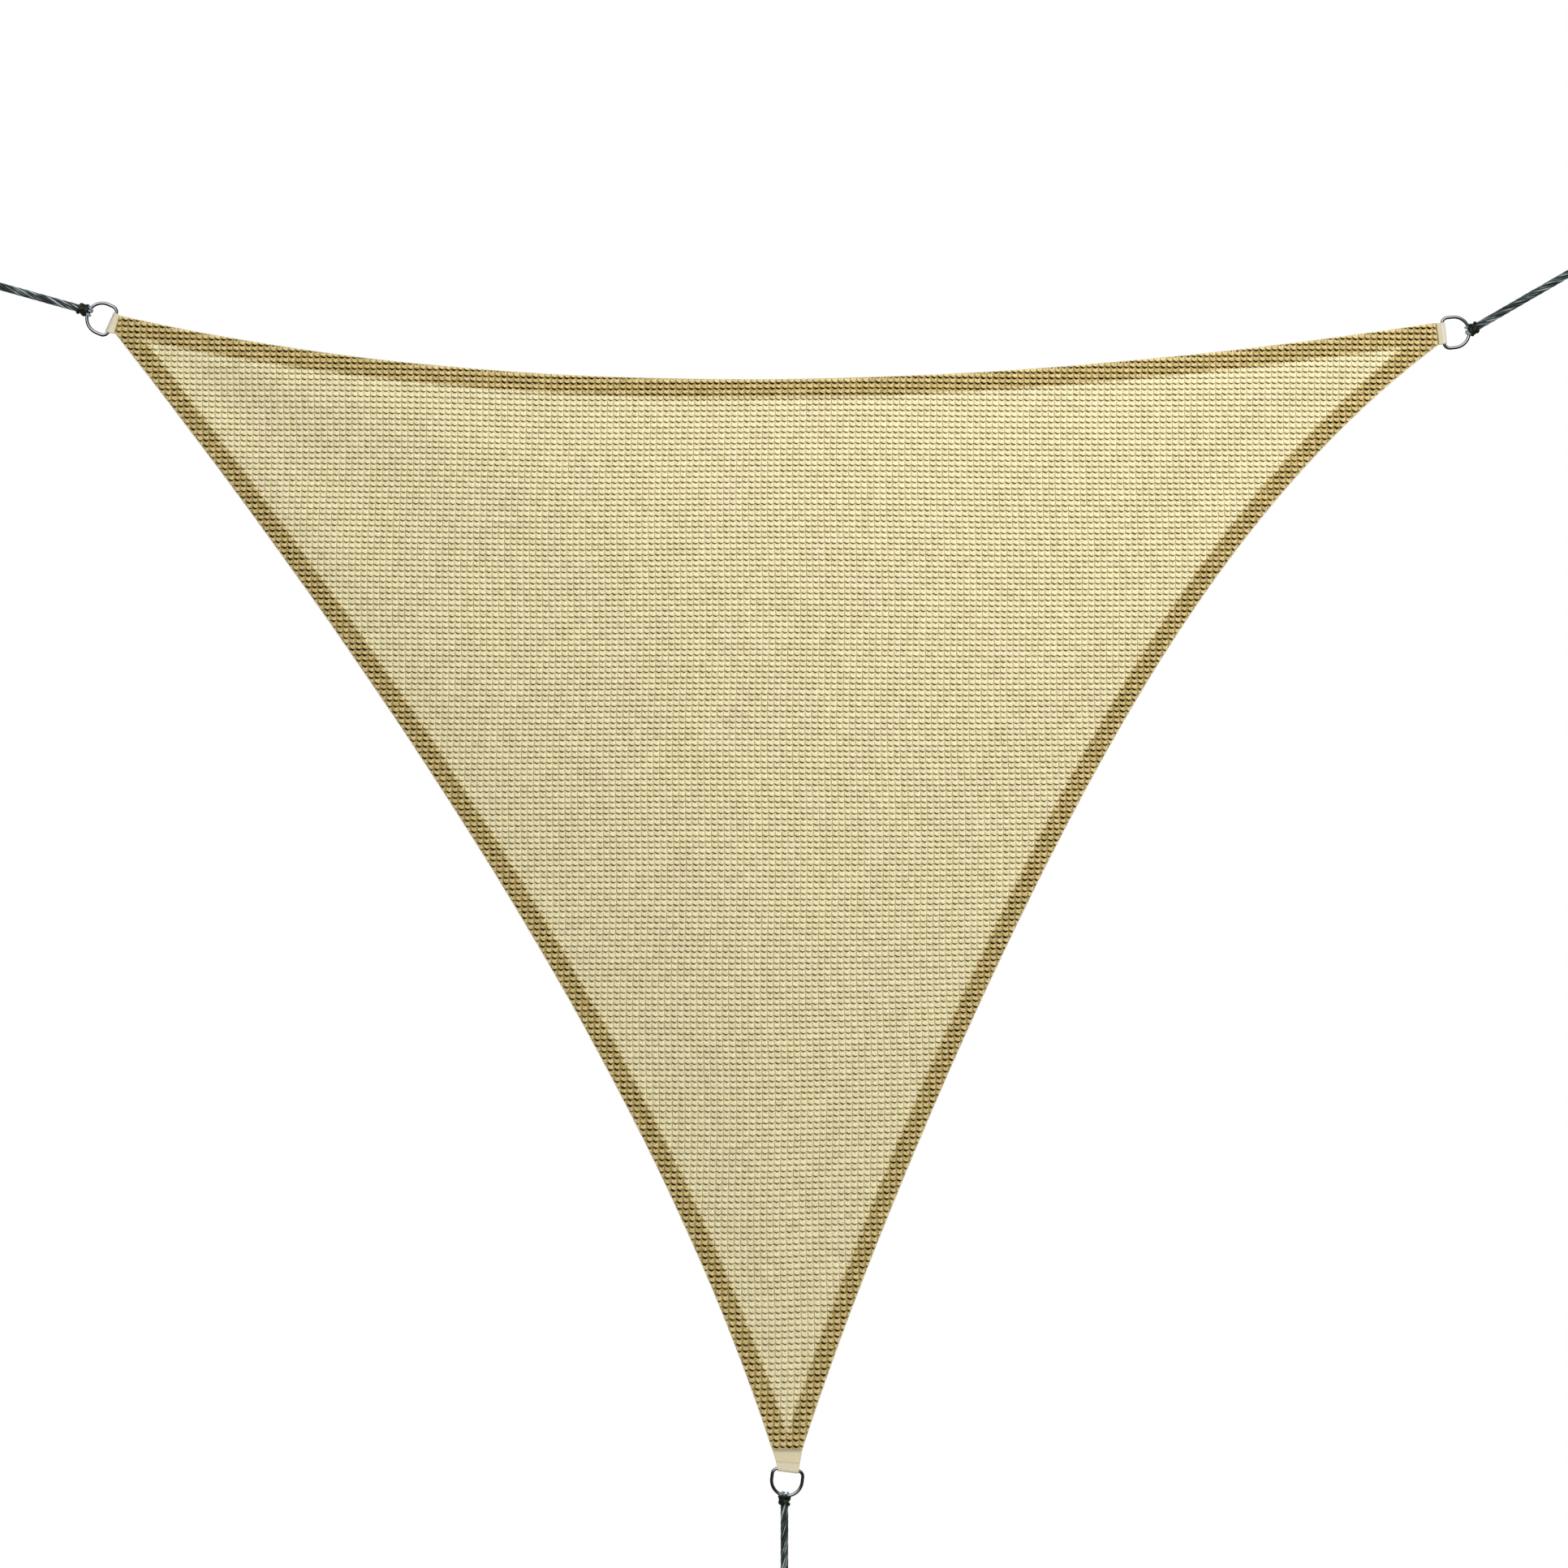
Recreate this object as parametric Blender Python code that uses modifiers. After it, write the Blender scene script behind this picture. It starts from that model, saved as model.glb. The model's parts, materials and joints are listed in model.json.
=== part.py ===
"""Shade sail: a triangle of knitted shade cloth with hollow-cut sides, held taut at its three
corners by webbing straps, D-rings and laid rope. Blender 4.5, metres, +Z up. The sail hangs in
the XZ plane with its face towards -Y, and the origin is where its left end loop is hooked."""

import math
from collections import namedtuple

import bmesh
import bpy
from mathutils import Matrix, Vector

MM = 0.001
GAP = 0.3 * MM  # between pieces that touch

# --- Driving dimensions -------------------------------------------------------------------
# Places in the sail's plane are (across, up), from the middle of the sail at the level of
# its upper left corner. Turns are in degrees, anticlockwise from +X as seen from the front.

FIELD_THICK = 2.0 * MM  # one layer of knit
HEM_THICK = 4.0 * MM  # the folded hem, two layers
HEM_WIDTH = 27.0 * MM
HEM_STEP = 1.5 * MM  # over which the hem's thickness runs out
BELLY = 45.0 * MM  # the wind's set in the cloth, towards the front
FLAT_CORNER = 70.0 * MM  # the cloth lies flat on its strap this far from a corner
CORNER_EASE = 140.0 * MM  # over which the folds and the belly then set in
ROWS, COLUMNS = 30, 22  # the cloth's own mesh, inside its hem
CROWDING = 0.55  # how much its columns crowd to the corners, from 0 to 1
MOST_HEM = 0.3  # a hem's share of a narrow row of that mesh

HEM_WAVE = 1.6 * MM  # the hem's slow wave, its length and how far in it dies out
HEM_WAVE_LENGTH = 330.0 * MM
HEM_WAVE_DEPTH = 90.0 * MM

STRAP_THICK = 1.5 * MM
STRAP_AT_BAR = 32.4 * MM  # its width where it turns round the ring's bar
STRAP_ROLL_GAP = 0.5 * MM  # between the bar and the strap
STRAP_BEHIND = 46.0 * MM  # sewn to the cloth's back, past the cloth's cut end
FLAP_SLOPE = 37.0  # degrees, from the bar down to the strap's other leg
STRAP_TURNS, STRAP_COLUMNS = 10, 2

WIRE_RADIUS = 2.5 * MM
RING_HALF = 23.5 * MM  # half of the D's width, to the middle of the wire
RING_ARC_OUT = 16.8 * MM  # from the bar to the middle of the D's arc
RING_CORNER = 9.0 * MM
RING_ARC_STEPS, RING_CORNER_STEPS = 16, 4
WIRE_RESOLUTION = 3

ROPE_RADIUS = 6.0 * MM
STRANDS = 8
STRAND_VALLEY = 5.0 * MM  # the rope's radius between two strands
ROPE_LAY = 95.0 * MM  # along the rope for one turn of its strands
ROPE_STEP = 11.0 * MM
SEAT_DEPTH = 3.0 * MM  # how deep the rope's other end sits in the end knot

BIGHT_RADIUS = 3.0 * MM  # half of the rope's strands, laid over the wire
BIGHT_TURN = 6.3 * MM  # from the wire's middle to the bight's
BIGHT_SPREAD = 11.5  # degrees round the D's arc, to each side of the knot
LUMP_OUT = 5.5 * MM  # from the wire to the knot's middle
LUMP_ACROSS, LUMP_DEEP = 9.6 * MM, 8.6 * MM
WRAP_TURN, WRAP_RADIUS = 7.6 * MM, 3.1 * MM
WRAP_TILTS = (28.0, -32.0)  # of the turns round the knots, from square to the rope
WRAP_LEAN = 0.25  # how far those on the ring's knot lean out of the sail's plane
WRAP_BACK = 7.8 * MM  # from the end of that knot's lump back to the turns' middle
ROPE_SEAT = 1.0 * MM  # from the same end back to where the rope starts

END_KNOT_ALONG, END_KNOT_ACROSS, END_KNOT_DEEP = 14.5 * MM, 15.5 * MM, 10.5 * MM
END_KNOT_MIDDLE = 9.0 * MM  # past the point where the rope starts to part
END_WRAP_TURN, END_WRAP_RADIUS = 11.0 * MM, 4.2 * MM
END_WRAP_SHIFT, END_WRAP_LEAN = 1.3 * MM, 0.12  # of its turns, along the rope and backwards
EYE_RADIUS = 25.0 * MM  # of the end loop, to the middle of the rope
EYE_SPLIT_RADIUS = 26.0 * MM  # of the bend with which a leg leaves the rope's line
EYE_SLOPE = 30.0  # degrees between a leg and the rope's line
EYE_LEG_START = 8.0 * MM  # a leg's distance from the rope's line where it leaves the knot
EYE_STEPS, EYE_LEG_STEPS = 14, 3

# Each corner: the cloth's two ends there, the middle of the ring's bar, the ways the ring, the
# knot on it and the rope point, half the knot's length, the rope's run from the wire to the end
# knot, the strap's reach from the bar to its flap's end, its width at the cloth's end and at its
# own inner end, and the way it lies behind the cloth.
Corner = namedtuple(
    "Corner",
    "name first second bar ring_turn knot_turn rope_turn lump_along run flap cloth_wide"
    " inner_wide inward_turn",
)
LEFT = Corner(
    "left",
    first=Vector((-1019.3, 0.0)) * MM,
    second=Vector((-1026.8, -27.4)) * MM,
    bar=Vector((-1031.5, -11.2)) * MM,
    ring_turn=156.0,
    knot_turn=153.7,
    rope_turn=164.4,
    lump_along=10.6 * MM,
    run=153.0 * MM,
    flap=7.4 * MM,
    cloth_wide=28.2 * MM,
    inner_wide=22.0 * MM,
    inward_turn=-31.0,
)
RIGHT = Corner(
    "right",
    first=Vector((999.4, -11.2)) * MM,
    second=Vector((1004.4, -44.9)) * MM,
    bar=Vector((1011.8, -27.4)) * MM,
    ring_turn=6.0,
    knot_turn=9.8,
    rope_turn=30.0,
    lump_along=8.4 * MM,
    run=187.0 * MM,
    flap=8.6 * MM,
    cloth_wide=33.6 * MM,
    inner_wide=23.0 * MM,
    inward_turn=206.0,
)
BOTTOM = Corner(
    "bottom",
    first=Vector((28.7, -1739.6)) * MM,
    second=Vector((-18.7, -1739.6)) * MM,
    bar=Vector((6.5, -1771.6)) * MM,
    ring_turn=263.0,
    knot_turn=262.5,
    rope_turn=270.0,
    lump_along=8.6 * MM,
    run=124.0 * MM,
    flap=9.8 * MM,
    cloth_wide=46.8 * MM,
    inner_wide=50.0 * MM,
    inward_turn=91.0,
)
CORNERS = (LEFT, RIGHT, BOTTOM)

# Each side, clockwise round the sail: how far it is cut hollow at its middle, how far that
# leans to its start, and how full it is towards both ends.
Side = namedtuple("Side", "start end sag lean fullness")
TOP_SIDE = Side(LEFT.first, RIGHT.first, 93.0 * MM, 0.33, 0.10)
RIGHT_SIDE = Side(RIGHT.second, BOTTOM.first, 125.0 * MM, 0.83, 1.00)
LEFT_SIDE = Side(BOTTOM.second, LEFT.second, 82.0 * MM, 0.52, 0.29)
SIDES = (TOP_SIDE, RIGHT_SIDE, LEFT_SIDE)

# Pulls that fan out from the corners: the way each points, how wide it fans, how high it
# stands at its highest, and how far from the corner that is.
Fold = namedtuple("Fold", "corner turn fan height reach")
FOLDS = (
    Fold(LEFT, -19.0, 6.0, 5.0 * MM, 340.0 * MM),
    Fold(LEFT, -34.0, 7.0, -4.0 * MM, 300.0 * MM),
    Fold(LEFT, -47.0, 6.0, 3.5 * MM, 420.0 * MM),
    Fold(RIGHT, 197.0, 6.0, 4.0 * MM, 360.0 * MM),
    Fold(RIGHT, 212.0, 7.0, -4.5 * MM, 330.0 * MM),
    Fold(RIGHT, 224.0, 6.0, 3.0 * MM, 400.0 * MM),
    Fold(BOTTOM, 82.0, 6.0, -3.5 * MM, 320.0 * MM),
    Fold(BOTTOM, 97.0, 7.0, 4.5 * MM, 440.0 * MM),
)

CREAM_KNIT = (0.66, 0.56, 0.32)
CREAM_WEBBING = (0.72, 0.66, 0.48)
STEEL = (0.62, 0.62, 0.63)
ROPE_GREEN = (0.045, 0.065, 0.065)
KNOT_GREEN = (0.02, 0.032, 0.026)


# --- Places in the sail's plane -------------------------------------------------------------


def way(turn):
    """The unit vector that points the way `turn` gives."""
    return Vector((math.cos(math.radians(turn)), math.sin(math.radians(turn))))


def square_to(vector):
    """The vector a quarter turn anticlockwise from this one."""
    return Vector((-vector[1], vector[0]))


def ring_arc_middle(corner):
    return corner.bar + way(corner.ring_turn) * RING_ARC_OUT


def lump_middle(corner):
    """The middle of the knot on the ring."""
    return ring_arc_middle(corner) + way(corner.knot_turn) * (RING_HALF + LUMP_OUT)


def rope_start(corner):
    """Where the rope's own solid starts, a little way into the knot on the ring."""
    return lump_middle(corner) + way(corner.rope_turn) * (corner.lump_along - ROPE_SEAT)


def rope_parts(corner):
    """Where the rope parts into the end loop's two legs, inside the end knot."""
    past = corner.run - LUMP_OUT + END_KNOT_ALONG - END_KNOT_MIDDLE
    return lump_middle(corner) + way(corner.rope_turn) * past


def eye_middle():
    """How far past that point the middle of the end loop lies."""
    slope = math.radians(EYE_SLOPE)
    rise = EYE_RADIUS * math.cos(slope) - EYE_SPLIT_RADIUS * (1 - math.cos(slope))
    along_leg = rise / math.tan(slope)
    return EYE_SPLIT_RADIUS * math.sin(slope) + along_leg + EYE_RADIUS * math.sin(slope)


def hook_point(corner):
    """Where a hook in the end loop bears on the rope."""
    past = eye_middle() + EYE_RADIUS - ROPE_RADIUS
    return rope_parts(corner) + way(corner.rope_turn) * past


ORIGIN = hook_point(LEFT)
STRAP_ROLL = WIRE_RADIUS + STRAP_ROLL_GAP + STRAP_THICK / 2  # the strap's radius round the bar
CLOTH_DEPTH = STRAP_ROLL - STRAP_THICK / 2 - GAP - HEM_THICK / 2  # in front of the strap's leg


def place(point, depth=0.0):
    """A point of the sail's plane in the model's frame, `depth` behind the rings' own."""
    return Vector((point[0] - ORIGIN[0], depth, point[1] - ORIGIN[1]))


# --- The cloth's outline and its depth ------------------------------------------------------


def hollow(side, t):
    """How far a side's edge lies inside its chord."""
    bow = 1 + side.lean * (0.5 - t) + side.fullness * (t - 0.5) ** 2
    return 4 * side.sag * t * (1 - t) * bow


def inward(side):
    """The way into the cloth, square to the side's chord."""
    return -square_to(side.end - side.start).normalized()


def side_point(side, t):
    return side.start.lerp(side.end, t) + inward(side) * hollow(side, t)


def edge_slant(side, t):
    """How far the edge runs for each unit along its chord, and how much of that is inward."""
    step = 0.001
    low, high = max(t - step, 0), min(t + step, 1)
    chord = (side.end - side.start).length
    slope = (hollow(side, high) - hollow(side, low)) / (chord * (high - low))
    return math.hypot(1, slope), slope


def from_side(side, point):
    """How far inside a side's edge the point lies."""
    arm = point - side.start
    chord = side.end - side.start
    t = min(max(arm.dot(chord) / chord.length_squared, 0), 1)
    return (arm.dot(inward(side)) - hollow(side, t)) / edge_slant(side, t)[0]


def corner_middle(corner):
    """The middle of the cloth's cut end at a corner."""
    return (corner.first + corner.second) / 2


def belly_at(point):
    """The cloth's set: 1 in the middle of the triangle, 0 on the chords of its sides."""
    a, b, c = (corner_middle(corner) for corner in CORNERS)
    whole = (b - a).cross(c - a)
    to_a = max((b - point).cross(c - point) / whole, 0)
    to_b = max((c - point).cross(a - point) / whole, 0)
    return 27 * to_a * to_b * max(1 - to_a - to_b, 0)


def fold_at(point):
    """The height of the pulls that fan out from the corners."""
    height = 0.0
    for fold in FOLDS:
        arm = point - corner_middle(fold.corner)
        off = math.degrees(math.atan2(arm[1], arm[0])) - fold.turn
        off = (off + 180) % 360 - 180
        far = arm.length / fold.reach
        height += fold.height * math.exp(-((off / fold.fan) ** 2)) * far * math.exp(1 - far)
    return height


def depth_at(point, from_edge):
    """How far behind the rings' plane the middle of the cloth lies."""
    wave = HEM_WAVE * math.sin(2 * math.pi * (point[0] - point[1]) / HEM_WAVE_LENGTH)
    wave *= math.exp(-from_edge / HEM_WAVE_DEPTH)
    from_corner = min((point - corner_middle(corner)).length for corner in CORNERS)
    ease = min(max((from_corner - FLAT_CORNER) / CORNER_EASE, 0.0), 1.0)
    ease *= ease * (3 - 2 * ease)
    return CLOTH_DEPTH + (wave - BELLY * belly_at(point) - fold_at(point)) * ease


# --- Blender helpers ------------------------------------------------------------------------


def clear_scene():
    for obj in list(bpy.data.objects):
        bpy.data.objects.remove(obj)
    for collection in list(bpy.data.collections):
        bpy.data.collections.remove(collection)


def finish(name, colour, roughness, metallic=0.0):
    """A plain Principled material."""
    material = bpy.data.materials.new(name)
    material.use_nodes = True
    shader = material.node_tree.nodes["Principled BSDF"]
    shader.inputs["Base Color"].default_value = (*colour, 1)
    shader.inputs["Roughness"].default_value = roughness
    shader.inputs["Metallic"].default_value = metallic
    return material


def add_object(name, data, collection, material=None):
    obj = bpy.data.objects.new(name, data)
    collection.objects.link(obj)
    if material:
        data.materials.append(material)
    return obj


def make_guide(obj):
    """A cutter or a guide: drawn as wire and left out of the part."""
    obj.hide_render = True
    obj.display_type = "WIRE"
    return obj


def mesh_from(bm, name):
    """A mesh of a bmesh, its faces pointing out, shaded smooth but for its sharp edges."""
    bmesh.ops.recalc_face_normals(bm, faces=bm.faces)
    mesh = bpy.data.meshes.new(name)
    bm.to_mesh(mesh)
    bm.free()
    mesh.shade_smooth()
    mesh.set_sharp_from_angle(angle=math.radians(35))
    return mesh


def thicken(obj, thickness):
    """Give an open sheet its thickness, half to each side."""
    solid = obj.modifiers.new("thickness", "SOLIDIFY")
    solid.thickness = thickness
    solid.offset = 0.0
    return solid


def combine(obj, other, operation):
    """A live exact Boolean on `obj` by a guide."""
    boolean = obj.modifiers.new(f"{operation.lower()}_{other.name}", "BOOLEAN")
    boolean.operation = operation
    boolean.object = other
    boolean.solver = "EXACT"


def upright(vector, lean=0.0):
    """A way in the sail's plane as one in the model's frame, leaning back by `lean`."""
    return Vector((vector[0], lean, vector[1]))


def ball(name, radii, turn, middle, collection, material):
    """An ellipsoid whose first radius points along `turn` and whose third is its depth."""
    bm = bmesh.new()
    bmesh.ops.create_uvsphere(bm, u_segments=14, v_segments=9, radius=1.0)
    bmesh.ops.scale(bm, vec=(radii[0], radii[2], radii[1]), verts=bm.verts)
    bmesh.ops.rotate(bm, matrix=Matrix.Rotation(-math.radians(turn), 3, "Y"), verts=bm.verts)
    bmesh.ops.translate(bm, vec=middle, verts=bm.verts)
    return add_object(name, mesh_from(bm, name), collection, material)


def torus(name, turn_radius, tube_radius, axis, middle, guides):
    """A guide in the form of one closed turn of rope about `axis`."""
    bm = bmesh.new()
    bmesh.ops.create_circle(bm, segments=7, radius=tube_radius)
    stand = Matrix.Translation((turn_radius, 0, 0)) @ Matrix.Rotation(math.pi / 2, 4, "X")
    bmesh.ops.transform(bm, matrix=stand, verts=bm.verts)
    bmesh.ops.spin(
        bm,
        geom=bm.verts[:] + bm.edges[:],
        axis=(0, 0, 1),
        cent=(0, 0, 0),
        angle=2 * math.pi,
        steps=14,
        use_merge=True,
    )
    swing = Vector((0, 0, 1)).rotation_difference(axis).to_matrix()
    bmesh.ops.rotate(bm, matrix=swing, verts=bm.verts)
    bmesh.ops.translate(bm, vec=middle, verts=bm.verts)
    return make_guide(add_object(name, mesh_from(bm, name), guides))


def cut_seat(knot, tip, away, guides):
    """Cut the round seat in which a rope's end sits, from its tip outwards."""
    depth = 6 * ROPE_RADIUS
    bm = bmesh.new()
    bmesh.ops.create_cone(
        bm,
        cap_ends=True,
        segments=16,
        radius1=ROPE_RADIUS + 2 * GAP,
        radius2=ROPE_RADIUS + 2 * GAP,
        depth=depth,
    )
    swing = Vector((0, 0, 1)).rotation_difference(away).to_matrix()
    bmesh.ops.rotate(bm, matrix=swing, verts=bm.verts)
    bmesh.ops.translate(bm, vec=tip + away * (depth / 2 - GAP), verts=bm.verts)
    name = f"{knot.name}_seat_{len(knot.modifiers)}"
    seat = make_guide(add_object(name, mesh_from(bm, name), guides))
    combine(knot, seat, "DIFFERENCE")


def add_spline(curve, points, cyclic=False, lay=None):
    """A straight-sided spline through `points`, turned once for every `lay` of its length."""
    spline = curve.splines.new("POLY")
    spline.points.add(len(points) - 1)
    spline.use_cyclic_u = cyclic
    run = 0.0
    for i, point in enumerate(points):
        if i:
            run += (point - points[i - 1]).length
        spline.points[i].co = (*point, 1)
        if lay:
            spline.points[i].tilt = 2 * math.pi * run / lay


def wire_curve(name, points, radius):
    """A closed round wire along `points`."""
    curve = bpy.data.curves.new(name, "CURVE")
    curve.dimensions = "3D"
    curve.bevel_depth = radius
    curve.bevel_resolution = WIRE_RESOLUTION
    add_spline(curve, points, cyclic=True)
    return curve


def solid_of(curve, guides):
    """The closed mesh of a wire curve, as a guide: a curve itself can't be a cutter."""
    source = add_object(curve.name, curve, guides)
    evaluated = source.evaluated_get(bpy.context.evaluated_depsgraph_get())
    mesh = bpy.data.meshes.new_from_object(evaluated)
    bpy.data.objects.remove(source)
    return make_guide(add_object(curve.name, mesh, guides))


# --- The pieces -----------------------------------------------------------------------------


def cloth_rows():
    """Each row of the cloth's mesh: how far below the top hem's edge it starts out, or None,
    and how far down the two other sides it ends."""
    rows = [(0.0, None), (HEM_WIDTH, 0.0), (HEM_WIDTH + HEM_STEP, HEM_STEP)]
    return rows + [(None, row / ROWS) for row in range(1, ROWS + 1)]


def row_ends(below, down):
    """The two ends of a row, on the cloth's outline."""
    if down is None:
        return LEFT.first, RIGHT.first
    return side_point(LEFT_SIDE, 1 - down), side_point(RIGHT_SIDE, down)


def hem_shares(wide, down):
    """The left and the right hem's shares of a level row, kept down in a narrow one."""
    shares = []
    for side, t in ((LEFT_SIDE, 1 - down), (RIGHT_SIDE, down)):
        slant, slope = edge_slant(side, t)
        chord = (side.end - side.start).normalized()
        edge = (chord + inward(side) * slope) / slant
        shares.append(min(HEM_WIDTH / abs(edge[1]) / wide, MOST_HEM))
    return shares


def row_shares(wide, down):
    """Where a row's points stand, from 0 at its left end to 1 at its right."""
    left, right = hem_shares(wide, down)
    step = HEM_STEP / wide
    start, stop = left + step, 1 - right - step
    inside = []
    for column in range(COLUMNS + 1):
        even = column / COLUMNS
        crowded = (1 - math.cos(math.pi * even)) / 2
        inside.append(start + (stop - start) * (even + (crowded - even) * CROWDING))
    return [0.0, left, *inside, 1 - right, 1.0]


def cloth_point(below, down, share):
    """A point of a row. The top rows follow the hollow top, and lower ones less and less."""
    left, right = row_ends(below, down)
    if share in (0.0, 1.0):
        return right if share else left
    if below is not None:
        return side_point(TOP_SIDE, share) + inward(TOP_SIDE) * below
    fade = hollow(TOP_SIDE, share) * (1 - down) ** 2
    return left.lerp(right, share) + inward(TOP_SIDE) * fade


def make_cloth(collection, material):
    """One sheet from corner to corner. Its hem is folded over, so it is two layers thick."""
    rows = cloth_rows()
    columns = COLUMNS + 5
    bm = bmesh.new()
    bmesh.ops.create_grid(bm, x_segments=columns - 1, y_segments=len(rows) - 1, size=1.0)
    layers = bm.verts.layers.deform.verify()
    for vert in bm.verts:
        column = round((vert.co.x + 1) / 2 * (columns - 1))
        below, down = rows[round((1 - vert.co.y) / 2 * (len(rows) - 1))]
        left, right = row_ends(below, down)
        share = row_shares((right - left).length, down or 0.0)[column]
        point = cloth_point(below, down, share)
        from_edge = max(min(from_side(side, point) for side in SIDES), 0.0)
        in_hem = from_edge < HEM_WIDTH + HEM_STEP / 2
        vert[layers][0] = 1.0 if in_hem else FIELD_THICK / HEM_THICK
        vert.co = place(point, depth_at(point, from_edge))
    cloth = add_object("sail_cloth", mesh_from(bm, "sail_cloth"), collection, material)
    cloth.vertex_groups.new(name="layers")
    thicken(cloth, HEM_THICK).vertex_group = "layers"


def strap_stations(corner):
    """The strap's middle line from its flap, round the bar and in behind the cloth: how far
    inward of the bar each point lies, and how far behind the rings' plane."""
    slope = math.radians(FLAP_SLOPE)
    leave = STRAP_ROLL * math.sin(slope)
    leave_depth = -STRAP_ROLL * math.cos(slope)
    on_leg = STRAP_ROLL - STRAP_THICK - GAP
    landed = leave + (on_leg - leave_depth) / math.tan(slope)
    if corner.flap > landed:
        stations = [(corner.flap, on_leg), (landed, on_leg)]
    else:
        stations = [(corner.flap, leave_depth + (corner.flap - leave) * math.tan(slope))]
    for i in range(STRAP_TURNS + 1):
        angle = -slope + (math.pi + slope) * i / STRAP_TURNS
        stations.append((-STRAP_ROLL * math.sin(angle), -STRAP_ROLL * math.cos(angle)))
    cloth_end = (corner_middle(corner) - corner.bar).length
    for reach in (cloth_end, cloth_end + STRAP_BEHIND / 2, cloth_end + STRAP_BEHIND):
        stations.append((reach, STRAP_ROLL))
    return stations


def facing(vector, other):
    """The unit vector, turned round if it points away from the other."""
    return (vector if vector.dot(other) > 0 else -vector).normalized()


def strap_line(corner, reach):
    """The strap's middle `reach` inward of the bar, the way across it there and its width."""
    out = way(corner.ring_turn)
    bar_across = square_to(out)
    cut_across = facing(corner.second - corner.first, bar_across)
    cloth_end = corner_middle(corner) - corner.bar
    if reach <= 0:
        return corner.bar - out * reach, bar_across, STRAP_AT_BAR
    if reach <= cloth_end.length:
        share = reach / cloth_end.length
        wide = STRAP_AT_BAR + (corner.cloth_wide - STRAP_AT_BAR) * share
        return corner.bar + cloth_end * share, bar_across.lerp(cut_across, share), wide
    past = reach - cloth_end.length
    share = past / STRAP_BEHIND
    behind = way(corner.inward_turn)
    behind_across = facing(square_to(behind), bar_across)
    wide = corner.cloth_wide + (corner.inner_wide - corner.cloth_wide) * share
    across = cut_across.lerp(behind_across, min(1.0, 2 * share)).normalized()
    return corner_middle(corner) + behind * past, across, wide


def make_strap(corner, collection, material):
    """A webbing strap, sewn behind the cloth's corner and folded forward round the bar."""
    stations = strap_stations(corner)
    bm = bmesh.new()
    bmesh.ops.create_grid(bm, x_segments=len(stations) - 1, y_segments=STRAP_COLUMNS, size=1.0)
    for vert in bm.verts:
        reach, depth = stations[round((vert.co.x + 1) / 2 * (len(stations) - 1))]
        middle, across, wide = strap_line(corner, reach)
        vert.co = place(middle + across * (vert.co.y / 2 * wide), depth)
    name = f"corner_strap_{corner.name}"
    strap = add_object(name, mesh_from(bm, name), collection, material)
    thicken(strap, STRAP_THICK)


def ring_points(corner):
    """The middle of the D-ring's wire: a bend, the arc and the other bend. The bar closes it."""
    outline = []
    for i in range(RING_CORNER_STEPS + 1):
        angle = math.pi / 2 * i / RING_CORNER_STEPS
        across = RING_HALF - RING_CORNER * (1 - math.sin(angle))
        outline.append((RING_CORNER * (1 - math.cos(angle)), across))
    for i in range(RING_ARC_STEPS + 1):
        angle = math.pi * i / RING_ARC_STEPS
        out = RING_ARC_OUT + RING_HALF * math.sin(angle)
        outline.append((out, RING_HALF * math.cos(angle)))
    outline += [(out, -across) for out, across in reversed(outline[: RING_CORNER_STEPS + 1])]
    out_way = way(corner.ring_turn)
    return [
        place(corner.bar + out_way * out + square_to(out_way) * across)
        for out, across in outline
    ]


def make_ring(corner, collection, material):
    name = f"d_ring_{corner.name}"
    curve = wire_curve(name, ring_points(corner), WIRE_RADIUS)
    add_object(name, curve, collection, material)


def make_hitch(corner, collection, guides, material):
    """The knot on the ring: two bights over the wire and a lump of crossing turns."""
    name = f"ring_hitch_{corner.name}"
    middle = place(lump_middle(corner))
    radii = (corner.lump_along, LUMP_ACROSS, LUMP_DEEP)
    hitch = ball(name, radii, corner.rope_turn, middle, collection, material)
    for side in (-1, 1):
        out = way(corner.knot_turn + side * BIGHT_SPREAD)
        on_wire = place(ring_arc_middle(corner) + out * RING_HALF)
        around = upright(square_to(out))
        bight = torus(f"{name}_bight_{side}", BIGHT_TURN, BIGHT_RADIUS, around, on_wire, guides)
        combine(hitch, bight, "UNION")
    out = way(corner.rope_turn)
    wrapped = place(lump_middle(corner) + out * (corner.lump_along - WRAP_BACK))
    for tilt in WRAP_TILTS:
        around = upright(way(corner.rope_turn + tilt), math.copysign(WRAP_LEAN, tilt))
        wrap = torus(f"{name}_wrap_{tilt:.0f}", WRAP_TURN, WRAP_RADIUS, around, wrapped, guides)
        combine(hitch, wrap, "UNION")
    channel = wire_curve(f"{name}_channel", ring_points(corner), WIRE_RADIUS + GAP)
    combine(hitch, solid_of(channel, guides), "DIFFERENCE")
    cut_seat(hitch, place(rope_start(corner)), upright(out), guides)


def strand_profile(guides):
    """The rope's section: its strands' crests and the valleys between them."""
    curve = bpy.data.curves.new("strand_profile", "CURVE")
    curve.dimensions = "2D"
    curve.fill_mode = "NONE"
    points = []
    for i in range(2 * STRANDS):
        radius = STRAND_VALLEY if i % 2 else ROPE_RADIUS
        points.append((way(-180 * i / STRANDS) * radius).to_3d())
    add_spline(curve, points, cyclic=True)
    return make_guide(add_object("strand_profile", curve, guides))


def make_rope(name, points, profile, collection, material):
    """A length of laid rope: the strands' section, turned along the points."""
    curve = bpy.data.curves.new(name, "CURVE")
    curve.dimensions = "3D"
    curve.bevel_mode = "OBJECT"
    curve.bevel_object = profile
    curve.use_fill_caps = True
    add_spline(curve, points, lay=ROPE_LAY)
    add_object(name, curve, collection, material)


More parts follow.
